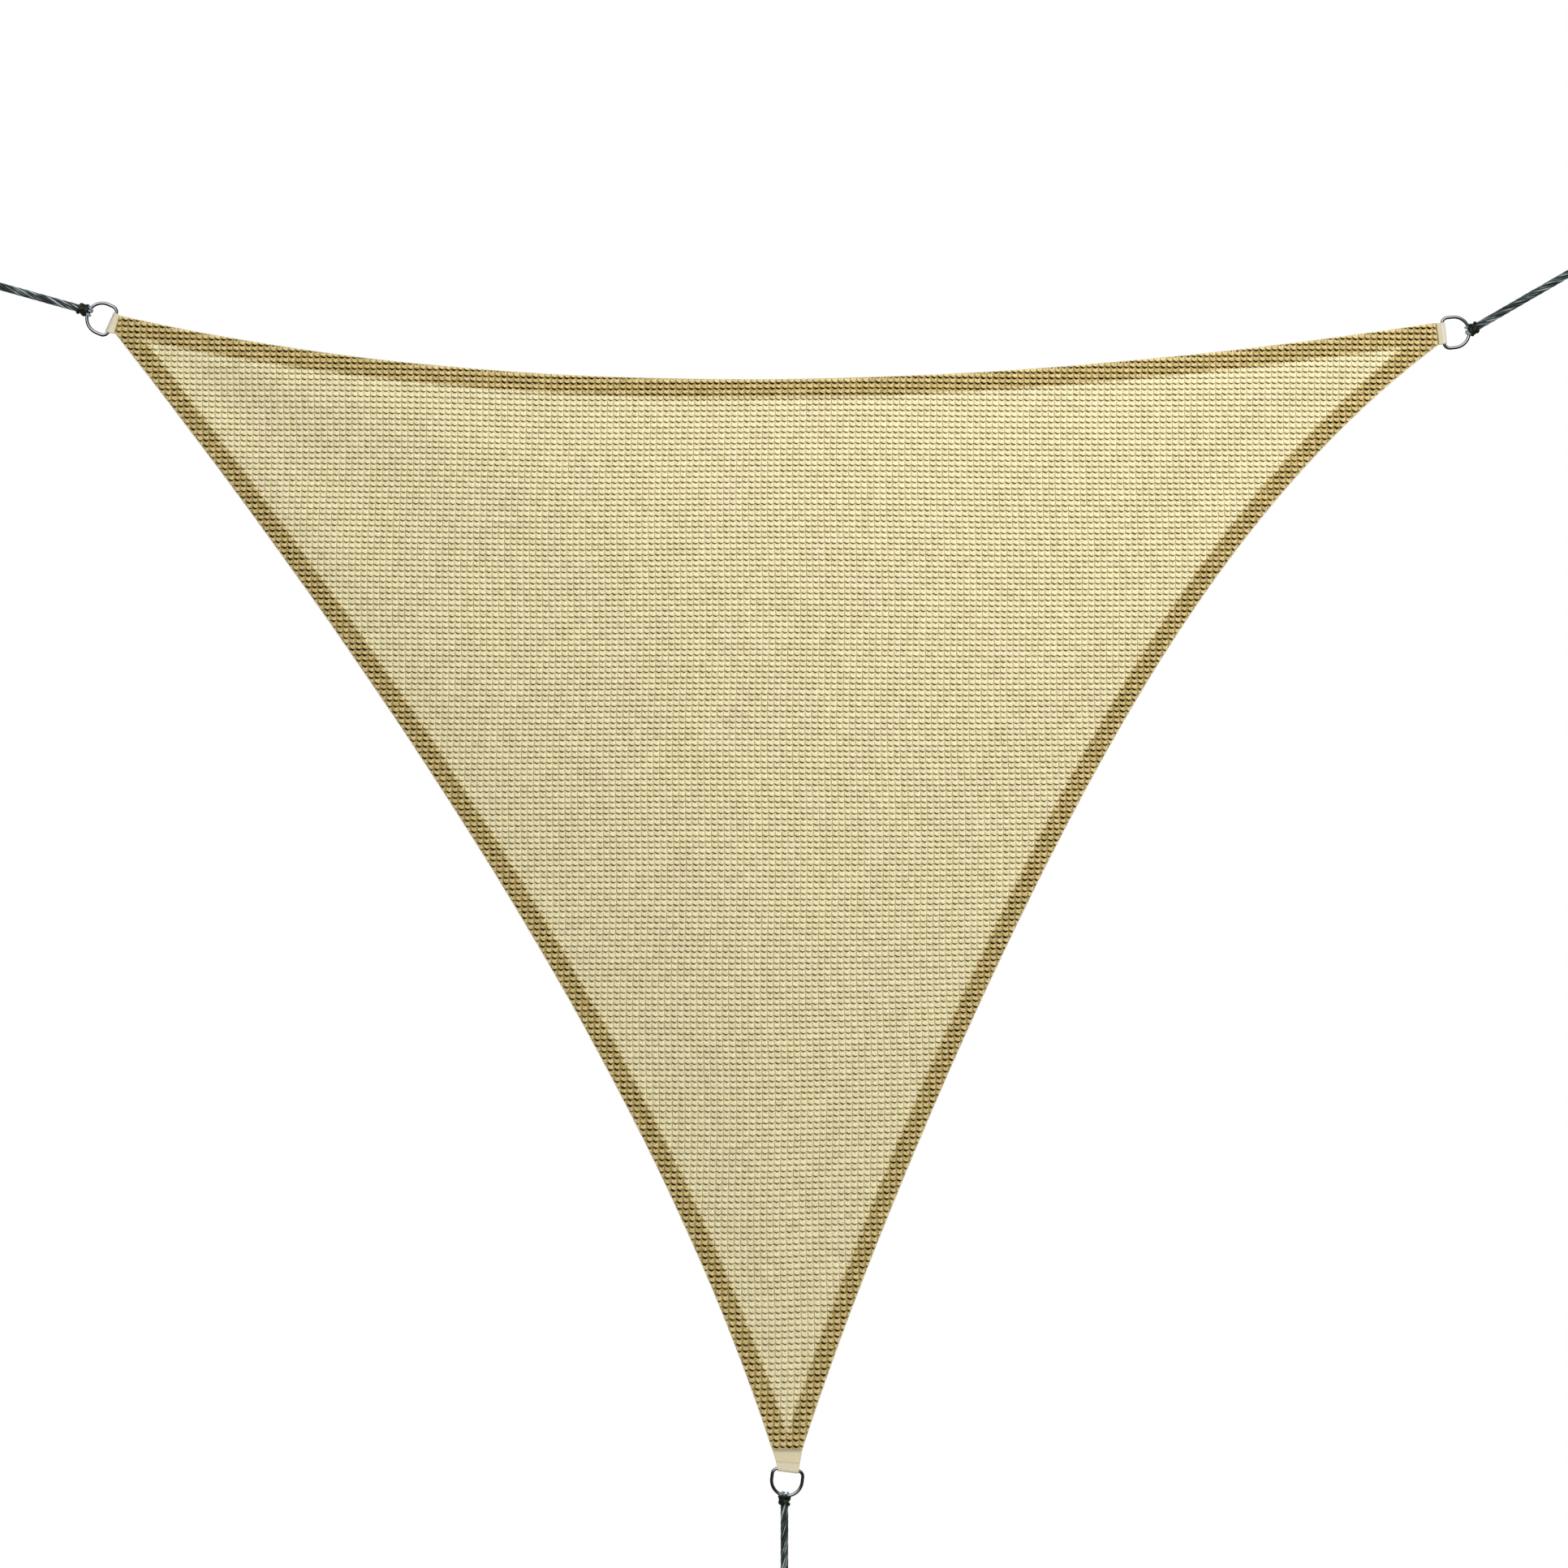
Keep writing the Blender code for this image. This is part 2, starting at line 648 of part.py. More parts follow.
def rope_points(corner):
    """The rope's straight run from the knot on the ring into the end knot."""
    start = rope_start(corner)
    past = END_KNOT_MIDDLE - END_KNOT_ALONG + SEAT_DEPTH
    stop = rope_parts(corner) + way(corner.rope_turn) * past
    steps = math.ceil((stop - start).length / ROPE_STEP)
    return [place(start.lerp(stop, i / steps)) for i in range(steps + 1)]


def eye_points(corner):
    """The end loop: out along one leg, round the eye and back along the other."""
    slope = math.radians(EYE_SLOPE)
    split = EYE_SPLIT_RADIUS * (1 - math.cos(slope))
    begin = EYE_SPLIT_RADIUS * math.sin(slope) + (EYE_LEG_START - split) / math.tan(slope)
    middle = Vector((eye_middle(), 0))
    leg_start = Vector((begin, EYE_LEG_START))
    leg_end = middle + way(90 + EYE_SLOPE) * EYE_RADIUS
    line = [leg_start.lerp(leg_end, i / EYE_LEG_STEPS) for i in range(EYE_LEG_STEPS)]
    for i in range(EYE_STEPS + 1):
        turn = (90 + EYE_SLOPE) * (1 - 2 * i / EYE_STEPS)
        line.append(middle + way(turn) * EYE_RADIUS)
    line += [Vector((along, -across)) for along, across in reversed(line[:EYE_LEG_STEPS])]
    out = way(corner.rope_turn)
    start = rope_parts(corner)
    return [place(start + out * along + square_to(out) * across) for along, across in line]


def make_end_knot(corner, collection, guides, material):
    """The knot that closes the end loop, with a seat for the rope and for each leg."""
    name = f"end_knot_{corner.name}"
    out = way(corner.rope_turn)
    middle = place(rope_parts(corner) + out * END_KNOT_MIDDLE)
    radii = (END_KNOT_ALONG, END_KNOT_ACROSS, END_KNOT_DEEP)
    knot = ball(name, radii, corner.rope_turn, middle, collection, material)
    for tilt in WRAP_TILTS:
        around = upright(way(corner.rope_turn + tilt), math.copysign(END_WRAP_LEAN, tilt))
        at = middle + upright(out) * math.copysign(END_WRAP_SHIFT, tilt)
        wrap = torus(
            f"{name}_wrap_{tilt:.0f}", END_WRAP_TURN, END_WRAP_RADIUS, around, at, guides
        )
        combine(knot, wrap, "UNION")
    run, legs = rope_points(corner), eye_points(corner)
    for tip, next_point in ((run[-1], run[-2]), (legs[0], legs[1]), (legs[-1], legs[-2])):
        cut_seat(knot, tip, (next_point - tip).normalized(), guides)


def build():
    clear_scene()
    part = bpy.data.collections.new("shade_sail")
    guides = bpy.data.collections.new("cutters")
    bpy.context.scene.collection.children.link(part)
    bpy.context.scene.collection.children.link(guides)

    knit = finish("cream_knit", CREAM_KNIT, 0.85)
    webbing = finish("cream_webbing", CREAM_WEBBING, 0.7)
    steel = finish("steel", STEEL, 0.2, 1.0)
    rope = finish("rope_green", ROPE_GREEN, 0.6)
    knot = finish("knot_green", KNOT_GREEN, 0.65)

    make_cloth(part, knit)
    profile = strand_profile(guides)
    for corner in CORNERS:
        make_strap(corner, part, webbing)
        make_ring(corner, part, steel)
        make_hitch(corner, part, guides, knot)
        make_rope(f"rope_{corner.name}", rope_points(corner), profile, part, rope)
        make_end_knot(corner, part, guides, knot)
        make_rope(f"end_eye_{corner.name}", eye_points(corner), profile, part, rope)


build()
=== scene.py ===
# %% [markdown]
# # Dressing a shade sail
#
# A shade sail is a triangle of knitted shade cloth. Its sides are cut hollow, so the whole cloth
# comes tight when its corners are hauled outwards. At each corner a short webbing strap holds a
# steel D-ring, and a laid rope is knotted to the ring.
#
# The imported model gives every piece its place. This script loads it as a fixed frame, then makes
# over it what the model leaves out: each stitch of the knit, the strands of the ropes, and the
# finish of every material.

# %% Load the frame
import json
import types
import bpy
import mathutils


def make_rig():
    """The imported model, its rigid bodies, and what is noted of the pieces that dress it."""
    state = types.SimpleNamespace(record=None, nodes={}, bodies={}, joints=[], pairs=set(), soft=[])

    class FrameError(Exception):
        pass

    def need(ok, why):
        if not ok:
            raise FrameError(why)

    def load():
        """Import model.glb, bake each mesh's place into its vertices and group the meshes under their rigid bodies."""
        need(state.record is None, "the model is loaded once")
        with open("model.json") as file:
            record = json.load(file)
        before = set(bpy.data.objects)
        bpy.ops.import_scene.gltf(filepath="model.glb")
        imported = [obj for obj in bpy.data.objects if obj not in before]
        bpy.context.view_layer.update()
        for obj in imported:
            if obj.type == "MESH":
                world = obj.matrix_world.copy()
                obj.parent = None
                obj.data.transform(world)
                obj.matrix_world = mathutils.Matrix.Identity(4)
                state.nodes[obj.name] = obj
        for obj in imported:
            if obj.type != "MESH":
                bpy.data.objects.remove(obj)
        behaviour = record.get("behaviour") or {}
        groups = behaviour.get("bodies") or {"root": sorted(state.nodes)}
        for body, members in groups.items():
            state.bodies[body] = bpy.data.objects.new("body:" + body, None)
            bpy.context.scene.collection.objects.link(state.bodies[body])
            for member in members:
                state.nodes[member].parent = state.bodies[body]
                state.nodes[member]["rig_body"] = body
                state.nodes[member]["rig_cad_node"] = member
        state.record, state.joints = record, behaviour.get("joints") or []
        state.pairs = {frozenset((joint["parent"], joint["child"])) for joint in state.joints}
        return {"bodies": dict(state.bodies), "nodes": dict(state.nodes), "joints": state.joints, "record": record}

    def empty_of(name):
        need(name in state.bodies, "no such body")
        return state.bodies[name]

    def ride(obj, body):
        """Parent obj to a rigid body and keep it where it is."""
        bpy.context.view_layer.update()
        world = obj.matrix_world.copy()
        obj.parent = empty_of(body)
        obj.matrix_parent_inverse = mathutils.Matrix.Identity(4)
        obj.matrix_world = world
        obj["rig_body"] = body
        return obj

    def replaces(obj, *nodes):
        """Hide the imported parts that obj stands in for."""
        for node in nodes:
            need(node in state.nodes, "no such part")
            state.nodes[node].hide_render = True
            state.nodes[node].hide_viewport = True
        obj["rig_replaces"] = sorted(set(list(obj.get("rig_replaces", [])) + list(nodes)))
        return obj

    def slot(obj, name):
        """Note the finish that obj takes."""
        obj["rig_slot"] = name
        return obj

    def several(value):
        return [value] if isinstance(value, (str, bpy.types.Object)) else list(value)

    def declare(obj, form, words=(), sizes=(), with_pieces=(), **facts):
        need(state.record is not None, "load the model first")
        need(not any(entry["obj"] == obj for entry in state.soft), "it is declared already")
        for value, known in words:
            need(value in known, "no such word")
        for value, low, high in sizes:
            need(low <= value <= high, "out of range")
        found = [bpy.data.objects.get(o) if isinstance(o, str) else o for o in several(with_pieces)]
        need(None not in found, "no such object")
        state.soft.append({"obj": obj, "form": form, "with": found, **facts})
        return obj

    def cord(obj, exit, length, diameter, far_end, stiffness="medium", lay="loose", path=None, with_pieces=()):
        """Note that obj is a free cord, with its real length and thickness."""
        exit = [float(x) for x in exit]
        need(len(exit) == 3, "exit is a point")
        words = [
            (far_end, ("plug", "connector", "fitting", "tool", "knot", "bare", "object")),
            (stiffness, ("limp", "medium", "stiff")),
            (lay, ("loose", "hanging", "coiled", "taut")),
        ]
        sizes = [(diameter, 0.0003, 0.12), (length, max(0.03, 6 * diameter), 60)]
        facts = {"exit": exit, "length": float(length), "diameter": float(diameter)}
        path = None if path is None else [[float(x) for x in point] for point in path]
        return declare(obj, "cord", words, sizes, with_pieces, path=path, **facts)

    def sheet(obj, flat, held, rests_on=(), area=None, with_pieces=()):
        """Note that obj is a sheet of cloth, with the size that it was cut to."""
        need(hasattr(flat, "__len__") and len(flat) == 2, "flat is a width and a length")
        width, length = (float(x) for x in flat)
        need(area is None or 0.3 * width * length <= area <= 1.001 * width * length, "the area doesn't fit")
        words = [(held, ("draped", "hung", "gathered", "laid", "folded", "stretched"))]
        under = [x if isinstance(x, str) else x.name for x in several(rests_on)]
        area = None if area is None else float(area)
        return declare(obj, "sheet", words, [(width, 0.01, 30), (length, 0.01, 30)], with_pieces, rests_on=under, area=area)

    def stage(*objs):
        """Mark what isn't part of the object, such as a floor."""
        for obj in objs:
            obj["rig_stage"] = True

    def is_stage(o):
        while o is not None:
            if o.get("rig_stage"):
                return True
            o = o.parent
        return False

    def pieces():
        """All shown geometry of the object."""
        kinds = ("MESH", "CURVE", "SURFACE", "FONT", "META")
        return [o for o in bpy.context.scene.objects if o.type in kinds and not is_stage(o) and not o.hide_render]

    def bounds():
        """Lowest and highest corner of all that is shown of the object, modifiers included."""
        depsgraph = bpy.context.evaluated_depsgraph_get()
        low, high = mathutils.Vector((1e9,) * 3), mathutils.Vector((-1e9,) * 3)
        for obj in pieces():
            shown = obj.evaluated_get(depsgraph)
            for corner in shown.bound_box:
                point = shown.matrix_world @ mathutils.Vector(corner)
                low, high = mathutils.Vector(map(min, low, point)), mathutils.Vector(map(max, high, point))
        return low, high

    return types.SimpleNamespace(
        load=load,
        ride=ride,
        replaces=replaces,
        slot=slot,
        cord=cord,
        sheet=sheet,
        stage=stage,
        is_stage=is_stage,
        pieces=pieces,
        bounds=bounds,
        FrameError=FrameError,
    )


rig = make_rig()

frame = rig.load()

import json
import math
from collections import namedtuple
from functools import partialmethod

import bmesh
import bpy
from mathutils import Matrix, Vector

MM = 0.001
cad_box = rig.bounds()
print("the model measures", [round(high - low, 4) for low, high in zip(*cad_box)], "m")

# %% [markdown]
# ## The camera
#
# The sail is seen square from the front through a long lens, so its triangle isn't distorted. The
# distance follows from the lens and from how wide a strip of the sail's plane the picture shows.

# %% Stand the camera
PICTURE_WIDE = 1932  # pixels, and as high
PICTURE_PIXEL = 1.24611 * MM  # in the plane of the rings
VIEW_MIDDLE = Vector((1.2934, 0.0, -0.7891))
LENS, SENSOR = 85.0, 36.0  # mm


def new_object(name, data):
    """An object in the scene."""
    obj = bpy.data.objects.new(name, data)
    bpy.context.scene.collection.objects.link(obj)
    return obj


glass = bpy.data.cameras.new("camera")
glass.lens, glass.sensor_width = LENS, SENSOR
camera = new_object("camera", glass)
distance = PICTURE_WIDE * PICTURE_PIXEL * LENS / SENSOR
camera.location = VIEW_MIDDLE - Vector((0, distance, 0))
camera.rotation_euler = (math.pi / 2, 0, 0)
bpy.context.scene.camera = camera
print("the camera stands", round(distance, 3), "m in front of the sail")

# %% [markdown]
# ## Formulas made of nodes
#
# Node trees hold the rules for the knit, the ropes and the materials. Wiring one Math node after
# another by hand is hard to read, so a small class lets a socket be used in plain sums: each
# sign adds the Math node that does it. It works for geometry and for shaders alike.

# %% A socket that can be reckoned with
class Field:
    def __init__(self, tree, socket):
        self.tree, self.socket = tree, socket

    def math(self, operation, *others, clamp=False):
        inputs = dict(enumerate((self, *others)))
        return field(self.tree, "ShaderNodeMath", inputs, operation=operation, use_clamp=clamp)

    __add__ = __radd__ = partialmethod(math, "ADD")
    __mul__ = __rmul__ = partialmethod(math, "MULTIPLY")
    __sub__ = partialmethod(math, "SUBTRACT")
    __truediv__ = partialmethod(math, "DIVIDE")
    __pow__ = partialmethod(math, "POWER")
    __abs__ = partialmethod(math, "ABSOLUTE")
    clamped = partialmethod(math, "ADD", 0.0, clamp=True)

    def __neg__(self):
        return self * -1.0

    def __rsub__(self, other):
        return -self + other

    def eased(self):
        held = self.clamped()
        return held * held * (3.0 - held * 2.0)


def wire(tree, node, inputs):
    """Set or link a node's inputs."""
    for key, value in inputs.items():
        if isinstance(value, Field):
            tree.links.new(value.socket, node.inputs[key])
        else:
            node.inputs[key].default_value = value


def add(tree, kind, inputs=None, **options):
    node = tree.nodes.new(kind)
    for option, value in options.items():
        setattr(node, option, value)
    wire(tree, node, inputs or {})
    return node


def field(tree, kind, inputs=None, output=0, **options):
    """What a new node gives: a field, or a list of them where `output` is several."""
    outputs = add(tree, kind, inputs, **options).outputs
    if isinstance(output, tuple):
        return [Field(tree, outputs[each]) for each in output]
    return Field(tree, outputs[output])


def split(tree, arm):
    """The three parts of a vector."""
    return field(tree, "ShaderNodeSeparateXYZ", {0: arm}, (0, 1, 2))


def vector(tree, x, y, z):
    return field(tree, "ShaderNodeCombineXYZ", {0: x, 1: y, 2: z})


# %% [markdown]
# Geometry trees all start and end alike. Their inputs have names, and the values go in by each
# socket's own identifier. What the finished tree makes is kept as a plain mesh, because the
# export takes no live instances.

# %% Helpers for geometry trees
def geo(tree, kind, inputs=None, output=0, **options):
    return field(tree, f"GeometryNode{kind}", inputs, output, **options)


def new_tree(name, **inputs):
    """A geometry tree with the names of its inputs by kind. The second result looks one up."""
    tree = bpy.data.node_groups.new(name, "GeometryNodeTree")
    tree.interface.new_socket("Geometry", in_out="OUTPUT", socket_type="NodeSocketGeometry")
    for kind, labels in {"Geometry": "Geometry", **inputs}.items():
        for label in labels.split(", "):
            tree.interface.new_socket(label, in_out="INPUT", socket_type=f"NodeSocket{kind}")
    entry = tree.nodes.new("NodeGroupInput")
    return tree, lambda label: Field(tree, entry.outputs[label])


def named(tree, name, kind="FLOAT"):
    """A stored attribute."""
    return geo(tree, "InputNamedAttribute", {"Name": name}, data_type=kind)


def store(tree, geometry, name, value, kind="FLOAT", domain="POINT"):
    inputs = {"Geometry": geometry, "Name": name, "Value": value}
    return geo(tree, "StoreNamedAttribute", inputs, data_type=kind, domain=domain)


def close_tree(tree, geometry, material):
    """End a tree as each here ends: instances made real, and the material set."""
    real = geo(tree, "RealizeInstances", {0: geometry})
    smooth = geo(tree, "SetShadeSmooth", {0: real})
    painted = geo(tree, "SetMaterial", {0: smooth, "Material": material})
    add(tree, "NodeGroupOutput", {0: painted})


def as_mesh(name, source):
    """What an object's modifiers or bevel make of it, as a plain mesh object."""
    depsgraph = bpy.context.evaluated_depsgraph_get()
    mesh = bpy.data.meshes.new_from_object(
        source.evaluated_get(depsgraph), preserve_all_data_layers=True, depsgraph=depsgraph
    )
    bpy.data.objects.remove(source)
    mesh.name = name
    print(name, "has", sum(len(face.vertices) - 2 for face in mesh.polygons), "triangles")
    return new_object(name, mesh)


def apply_tree(name, source, tree, values):
    modifier = source.modifiers.new("nodes", "NODES")
    modifier.node_group = tree
    for item in tree.interface.items_tree:
        if item.in_out == "INPUT" and item.name in values:
            modifier[item.identifier] = values[item.name]
    return as_mesh(name, source)


# %% [markdown]
# ## Light and floor
#
# The sail hangs in a white studio. The surroundings are brightest straight in front of the cloth
# and behind it, and dimmer all round its rim, as with a soft box on either side. Polished steel
# would vanish in so much white, and a photographer hangs black cards round it: here the light
# that reaches the eye by a reflection comes from one bright panel up in front and a dimmer one
# behind, with dark all round, and neither floor nor lamp is mirrored. One large soft lamp, up on
# the right, gives the stitches their shadows and falls off towards the lowest corner. The pale
# floor lies below the picture.

# %% Light the studio
FRONT_LIGHT, BACK_LIGHT, RIM_LIGHT, TOP_LIGHT = 0.70, 1.05, 0.16, 0.62
FRONT_FROM, TOP_FROM, LIGHT_SOFT = 0.30, 0.45, 0.45  # where the lights start, and how softly
PANEL_WAY = Vector((-0.15, 0.80, 0.58))  # its depth counts towards the front and the back
PANEL_LIGHT, PANEL_BEHIND, CARD_LIGHT = 1.5, 0.13, 0.035
PANEL_EDGE, PANEL_SOFT, PANEL_DIMMING = 0.76, 0.17, 4.0
KEY_PLACE, KEY_AIM = Vector((2.5, -2.9, 1.7)), Vector((1.2, 0.0, -0.5))
KEY_WATTS, KEY_SIZE = 112.0, 1.5
FLOOR_LEVEL, FLOOR_PALE = -2.46, (0.86, 0.86, 0.85)
FLOOR_CORNERS = ((-1.9, -3.4), (4.5, -3.4), (4.5, 2.0), (-1.9, 2.0))  # across and deep


def light_world():
    world = bpy.data.worlds.new("studio")
    bpy.context.scene.world = world
    world.use_nodes = True
    tree = world.node_tree
    tree.nodes.clear()
    across, depth, up = split(tree, field(tree, "ShaderNodeTexCoord", output="Generated"))
    bright = RIM_LIGHT
    for looking, start, light in (
        (-depth, FRONT_FROM, FRONT_LIGHT),
        (depth, FRONT_FROM, BACK_LIGHT),
        (up, TOP_FROM, TOP_LIGHT),
    ):
        bright = ((looking - start) / LIGHT_SOFT).eased() * (light - RIM_LIGHT) + bright
    towards = across * PANEL_WAY[0] + abs(depth) * PANEL_WAY[1] + up * PANEL_WAY[2]
    dimmer = 1.0 - (depth * PANEL_DIMMING).clamped() * (1.0 - PANEL_BEHIND)
    panel = ((towards - PANEL_EDGE) / PANEL_SOFT).eased() * (PANEL_LIGHT - CARD_LIGHT) * dimmer
    rays = ("Is Camera Ray", "Is Glossy Ray")
    seen, mirrored = field(tree, "ShaderNodeLightPath", output=rays)
    bright = bright + mirrored * (panel + CARD_LIGHT - bright)
    strength = bright + seen * (1.0 - bright)
    lit = field(tree, "ShaderNodeBackground", {"Color": (1, 1, 1, 1), "Strength": strength})
    add(tree, "ShaderNodeOutputWorld", {0: lit})
    bpy.context.scene.view_settings.view_transform = "Standard"


def new_finish(name, roughness, shine=0.5, colour=(0.8, 0.8, 0.8)):
    """A material and its tree."""
    material = bpy.data.materials.new(name)
    material.use_nodes = True
    tree = material.node_tree
    looks = {"Roughness": roughness, "Specular IOR Level": shine, "Base Color": (*colour, 1)}
    wire(tree, tree.nodes["Principled BSDF"], looks)
    return material, tree


def mesh_object(name, verts, faces, edges=()):
    mesh = bpy.data.meshes.new(name)
    mesh.from_pydata(verts, edges, faces)
    return new_object(name, mesh)


light_world()

# %% Hang the lamp and lay the floor
lamp = bpy.data.lights.new("key", "AREA")
lamp.energy, lamp.size = KEY_WATTS, KEY_SIZE
key_lamp = new_object("key", lamp)
key_lamp.location = KEY_PLACE
key_lamp.rotation_euler = (KEY_AIM - KEY_PLACE).to_track_quat("-Z", "Y").to_euler()
floor = mesh_object("floor", [(*at, FLOOR_LEVEL) for at in FLOOR_CORNERS], [(0, 1, 2, 3)])
floor.data.materials.append(new_finish("floor_pale", roughness=0.7, colour=FLOOR_PALE)[0])
key_lamp.visible_glossy = floor.visible_glossy = False
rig.stage(floor)
print("the floor lies", -FLOOR_LEVEL, "m below the left hook")

# %% [markdown]
# ## The sail's plan
#
# The sail is laid out as a sailmaker would, in its own plane: across and up from the middle of
# the triangle, at the level of its upper left corner. Each corner has the two ends of the cloth,
# the middle of the ring's bar, and the ways the ring, the knot and the rope point. Angles are in
# degrees, anticlockwise from the right. They are the sizes that the model was built to.

# %% Sizes of the corners
HEM_WIDTH = 27.0 * MM
RING_HALF, RING_ARC_OUT, RING_CORNER = 23.5 * MM, 16.8 * MM, 9.0 * MM
WIRE_RADIUS, ROPE_RADIUS = 2.5 * MM, 6.0 * MM
LUMP_OUT, LUMP_ACROSS, LUMP_DEEP = 5.5 * MM, 9.6 * MM, 8.6 * MM
END_KNOT_ALONG, END_KNOT_ACROSS, END_KNOT_DEEP = 14.5 * MM, 15.5 * MM, 10.5 * MM
END_KNOT_MIDDLE = 9.0 * MM
EYE_RADIUS, EYE_SPLIT_RADIUS, EYE_SLOPE = 25.0 * MM, 26.0 * MM, 30.0

# Of a strap: grey is how far inward of the bar its front is painted greyer, and the last field how strongly; this is
# painted shade on the roll round the bar.
Corner = namedtuple(
    "Corner",
    "name first second bar ring_turn knot_turn rope_turn lump_along run rope_long"
    " flap grey cloth_wide inner_wide inward_turn wear",
)


def corner_of(name, points, turns, lengths, strap):
    """A corner from its sizes in millimetres."""
    sizes = [size * MM for size in (*lengths, *strap[:4])]
    return Corner(name, *(Vector(point) * MM for point in points), *turns, *sizes, *strap[4:])


LEFT = corner_of(
    "left",
    points=((-1019.3, 0.0), (-1026.8, -27.4), (-1031.5, -11.2)),
    turns=(156.0, 153.7, 164.4),
    lengths=(10.6, 153.0, 335.0),
    strap=(7.4, 1.7, 28.2, 22.0, -31.0, 1.0),
)
RIGHT = corner_of(
    "right",
    points=((999.4, -11.2), (1004.4, -44.9), (1011.8, -27.4)),
    turns=(6.0, 9.8, 30.0),
    lengths=(8.4, 187.0, 370.0),
    strap=(8.6, 4.0, 33.6, 23.0, 206.0, 1.0),
)
BOTTOM = corner_of(
    "bottom",
    points=((28.7, -1739.6), (-18.7, -1739.6), (6.5, -1771.6)),
    turns=(263.0, 262.5, 270.0),
    lengths=(8.6, 124.0, 306.0),
    strap=(9.8, 9.8, 46.8, 50.0, 91.0, 0.45),
)
CORNERS = (LEFT, RIGHT, BOTTOM)


def way(turn):
    return Vector((math.cos(math.radians(turn)), math.sin(math.radians(turn))))


def square_to(arm):
    return Vector((-arm[1], arm[0]))


def ring_arc_middle(corner):
    return corner.bar + way(corner.ring_turn) * RING_ARC_OUT


def lump_middle(corner):
    return ring_arc_middle(corner) + way(corner.knot_turn) * (RING_HALF + LUMP_OUT)


def rope_parts(corner):
    """Where the rope parts into the two legs of its end loop."""
    past = corner.run - LUMP_OUT + END_KNOT_ALONG - END_KNOT_MIDDLE
    return lump_middle(corner) + way(corner.rope_turn) * past


def eye_middle():
    slope = math.radians(EYE_SLOPE)
    rise = EYE_RADIUS * math.cos(slope) - EYE_SPLIT_RADIUS * (1 - math.cos(slope))
    return (EYE_SPLIT_RADIUS + EYE_RADIUS) * math.sin(slope) + rise / math.tan(slope)


ORIGIN = rope_parts(LEFT) + way(LEFT.rope_turn) * (eye_middle() + EYE_RADIUS - ROPE_RADIUS)


def place(point, depth=0.0):
    """A point of the plan in the frame, `depth` behind the plane of the rings."""
    return Vector((point[0] - ORIGIN[0], depth, point[1] - ORIGIN[1]))


for corner in CORNERS:
    print(corner.name, "ring's bar at", [round(x, 4) for x in place(corner.bar)])

# %% [markdown]
# ## Rope
#
# The ropes are laid from eight strands that twist to the right, once in 95 mm. A picture of
# strands on a plain tube looks painted, because it has no outline of its own, so each strand is
# a tube that winds round the rope's middle line. Geometry Nodes do it: the line is copied once
# for each strand, each copy is pushed out from the middle by an angle that grows along the line,
# and a round section is swept along it. The turns of the knots are the same tree on a ring.

# %% A tree for laid rope
STRAND_SIDES = 8


def rope_tree():
    tree, given = new_tree(
        "laid_rope", Int="Strands", Float="Winding, Strand radius, Lay, Step", Material="Finish"
    )
    inputs = {"Curve": given("Geometry"), "Length": given("Step")}
    even = geo(tree, "ResampleCurve", inputs, mode="LENGTH")
    run, factor = geo(tree, "SplineParameter", output=("Length", "Factor"))
    inputs = {"Geometry": store(tree, even, "along", run), "Amount": given("Strands")}
    outputs = (0, "Duplicate Index")
    copies, strand = geo(tree, "DuplicateElements", inputs, outputs, domain="SPLINE")
    angle = strand * math.tau / given("Strands") + run * math.tau / given("Lay")
    tangent, normal = geo(tree, "InputTangent"), geo(tree, "InputNormal")
    inputs = {"Vector": normal, "Axis": tangent, "Angle": angle}
    out = field(tree, "ShaderNodeVectorRotate", inputs, rotation_type="AXIS_ANGLE")
    inputs = {0: out, "Scale": given("Winding")}
    push = field(tree, "ShaderNodeVectorMath", inputs, operation="SCALE")
    numbered = store(tree, copies, "strand", strand)
    wound = geo(tree, "SetPosition", {0: numbered, "Offset": push})
    inputs = {"Resolution": STRAND_SIDES, "Radius": given("Strand radius")}
    section = store(tree, geo(tree, "CurvePrimitiveCircle", inputs), "around", factor)
    inputs = {"Curve": wound, "Profile Curve": section, "Fill Caps": True}
    swept = geo(tree, "CurveToMesh", inputs)
    middle = geo(tree, "CurveToMesh", {"Curve": even})
    off = geo(tree, "Proximity", {0: middle}, "Distance", target_element="EDGES")
    inner = given("Winding") - given("Strand radius")
    crest = (off - inner) / given("Strand radius") * 0.5
    close_tree(tree, store(tree, swept, "crest", crest), given("Finish"))
    return tree


laid_rope = rope_tree()
print(laid_rope.name, "takes", [item.name for item in laid_rope.interface.items_tree])

# %% [markdown]
# The yarn is dark green. Its colour is painted almost black in the grooves between the strands,
# as painted shade, and pale in streaks on their crests, as a painted highlight where the light
# catches the filaments. The attributes that the tree stores along and around each strand let fine
# slanting filaments be drawn on it, as bump and within that painted highlight.

# %% Rope finish
# The dark colours are the yarn's own, kept in the grooves as painted shade; the pale ones are painted highlights on
# the crests.
ROPE_DARK, ROPE_HIGHLIGHT = (0.003, 0.007, 0.007), (0.40, 0.47, 0.48)
KNOT_DARK, KNOT_HIGHLIGHT = (0.003, 0.006, 0.003), (0.055, 0.070, 0.036)
BIGHT_DARK, BIGHT_HIGHLIGHT = (0.050, 0.075, 0.095), (0.42, 0.50, 0.60)
STREAK_SCALE = (3.7, 30.0, 1.6)  # for each strand, metre along it and turn round it
FILAMENT_LAY, FILAMENTS = 3.2 * MM, 6.0
HIGHLIGHT_FROM, MORE_HIGHLIGHT, STREAK_SHARP = 0.62, 0.28, 7.5
CREST_FROM, CREST_SHARP = 0.70, 4.0
STREAK_WEIGHT, FILAMENT_WEIGHT, LEAST_WEIGHT = 0.85, 0.10, 0.03


def stored(tree, *names):
    """Attributes of the mesh, for a finish."""
    kind = "ShaderNodeAttribute"
    return [field(tree, kind, output="Fac", attribute_name=name) for name in names]


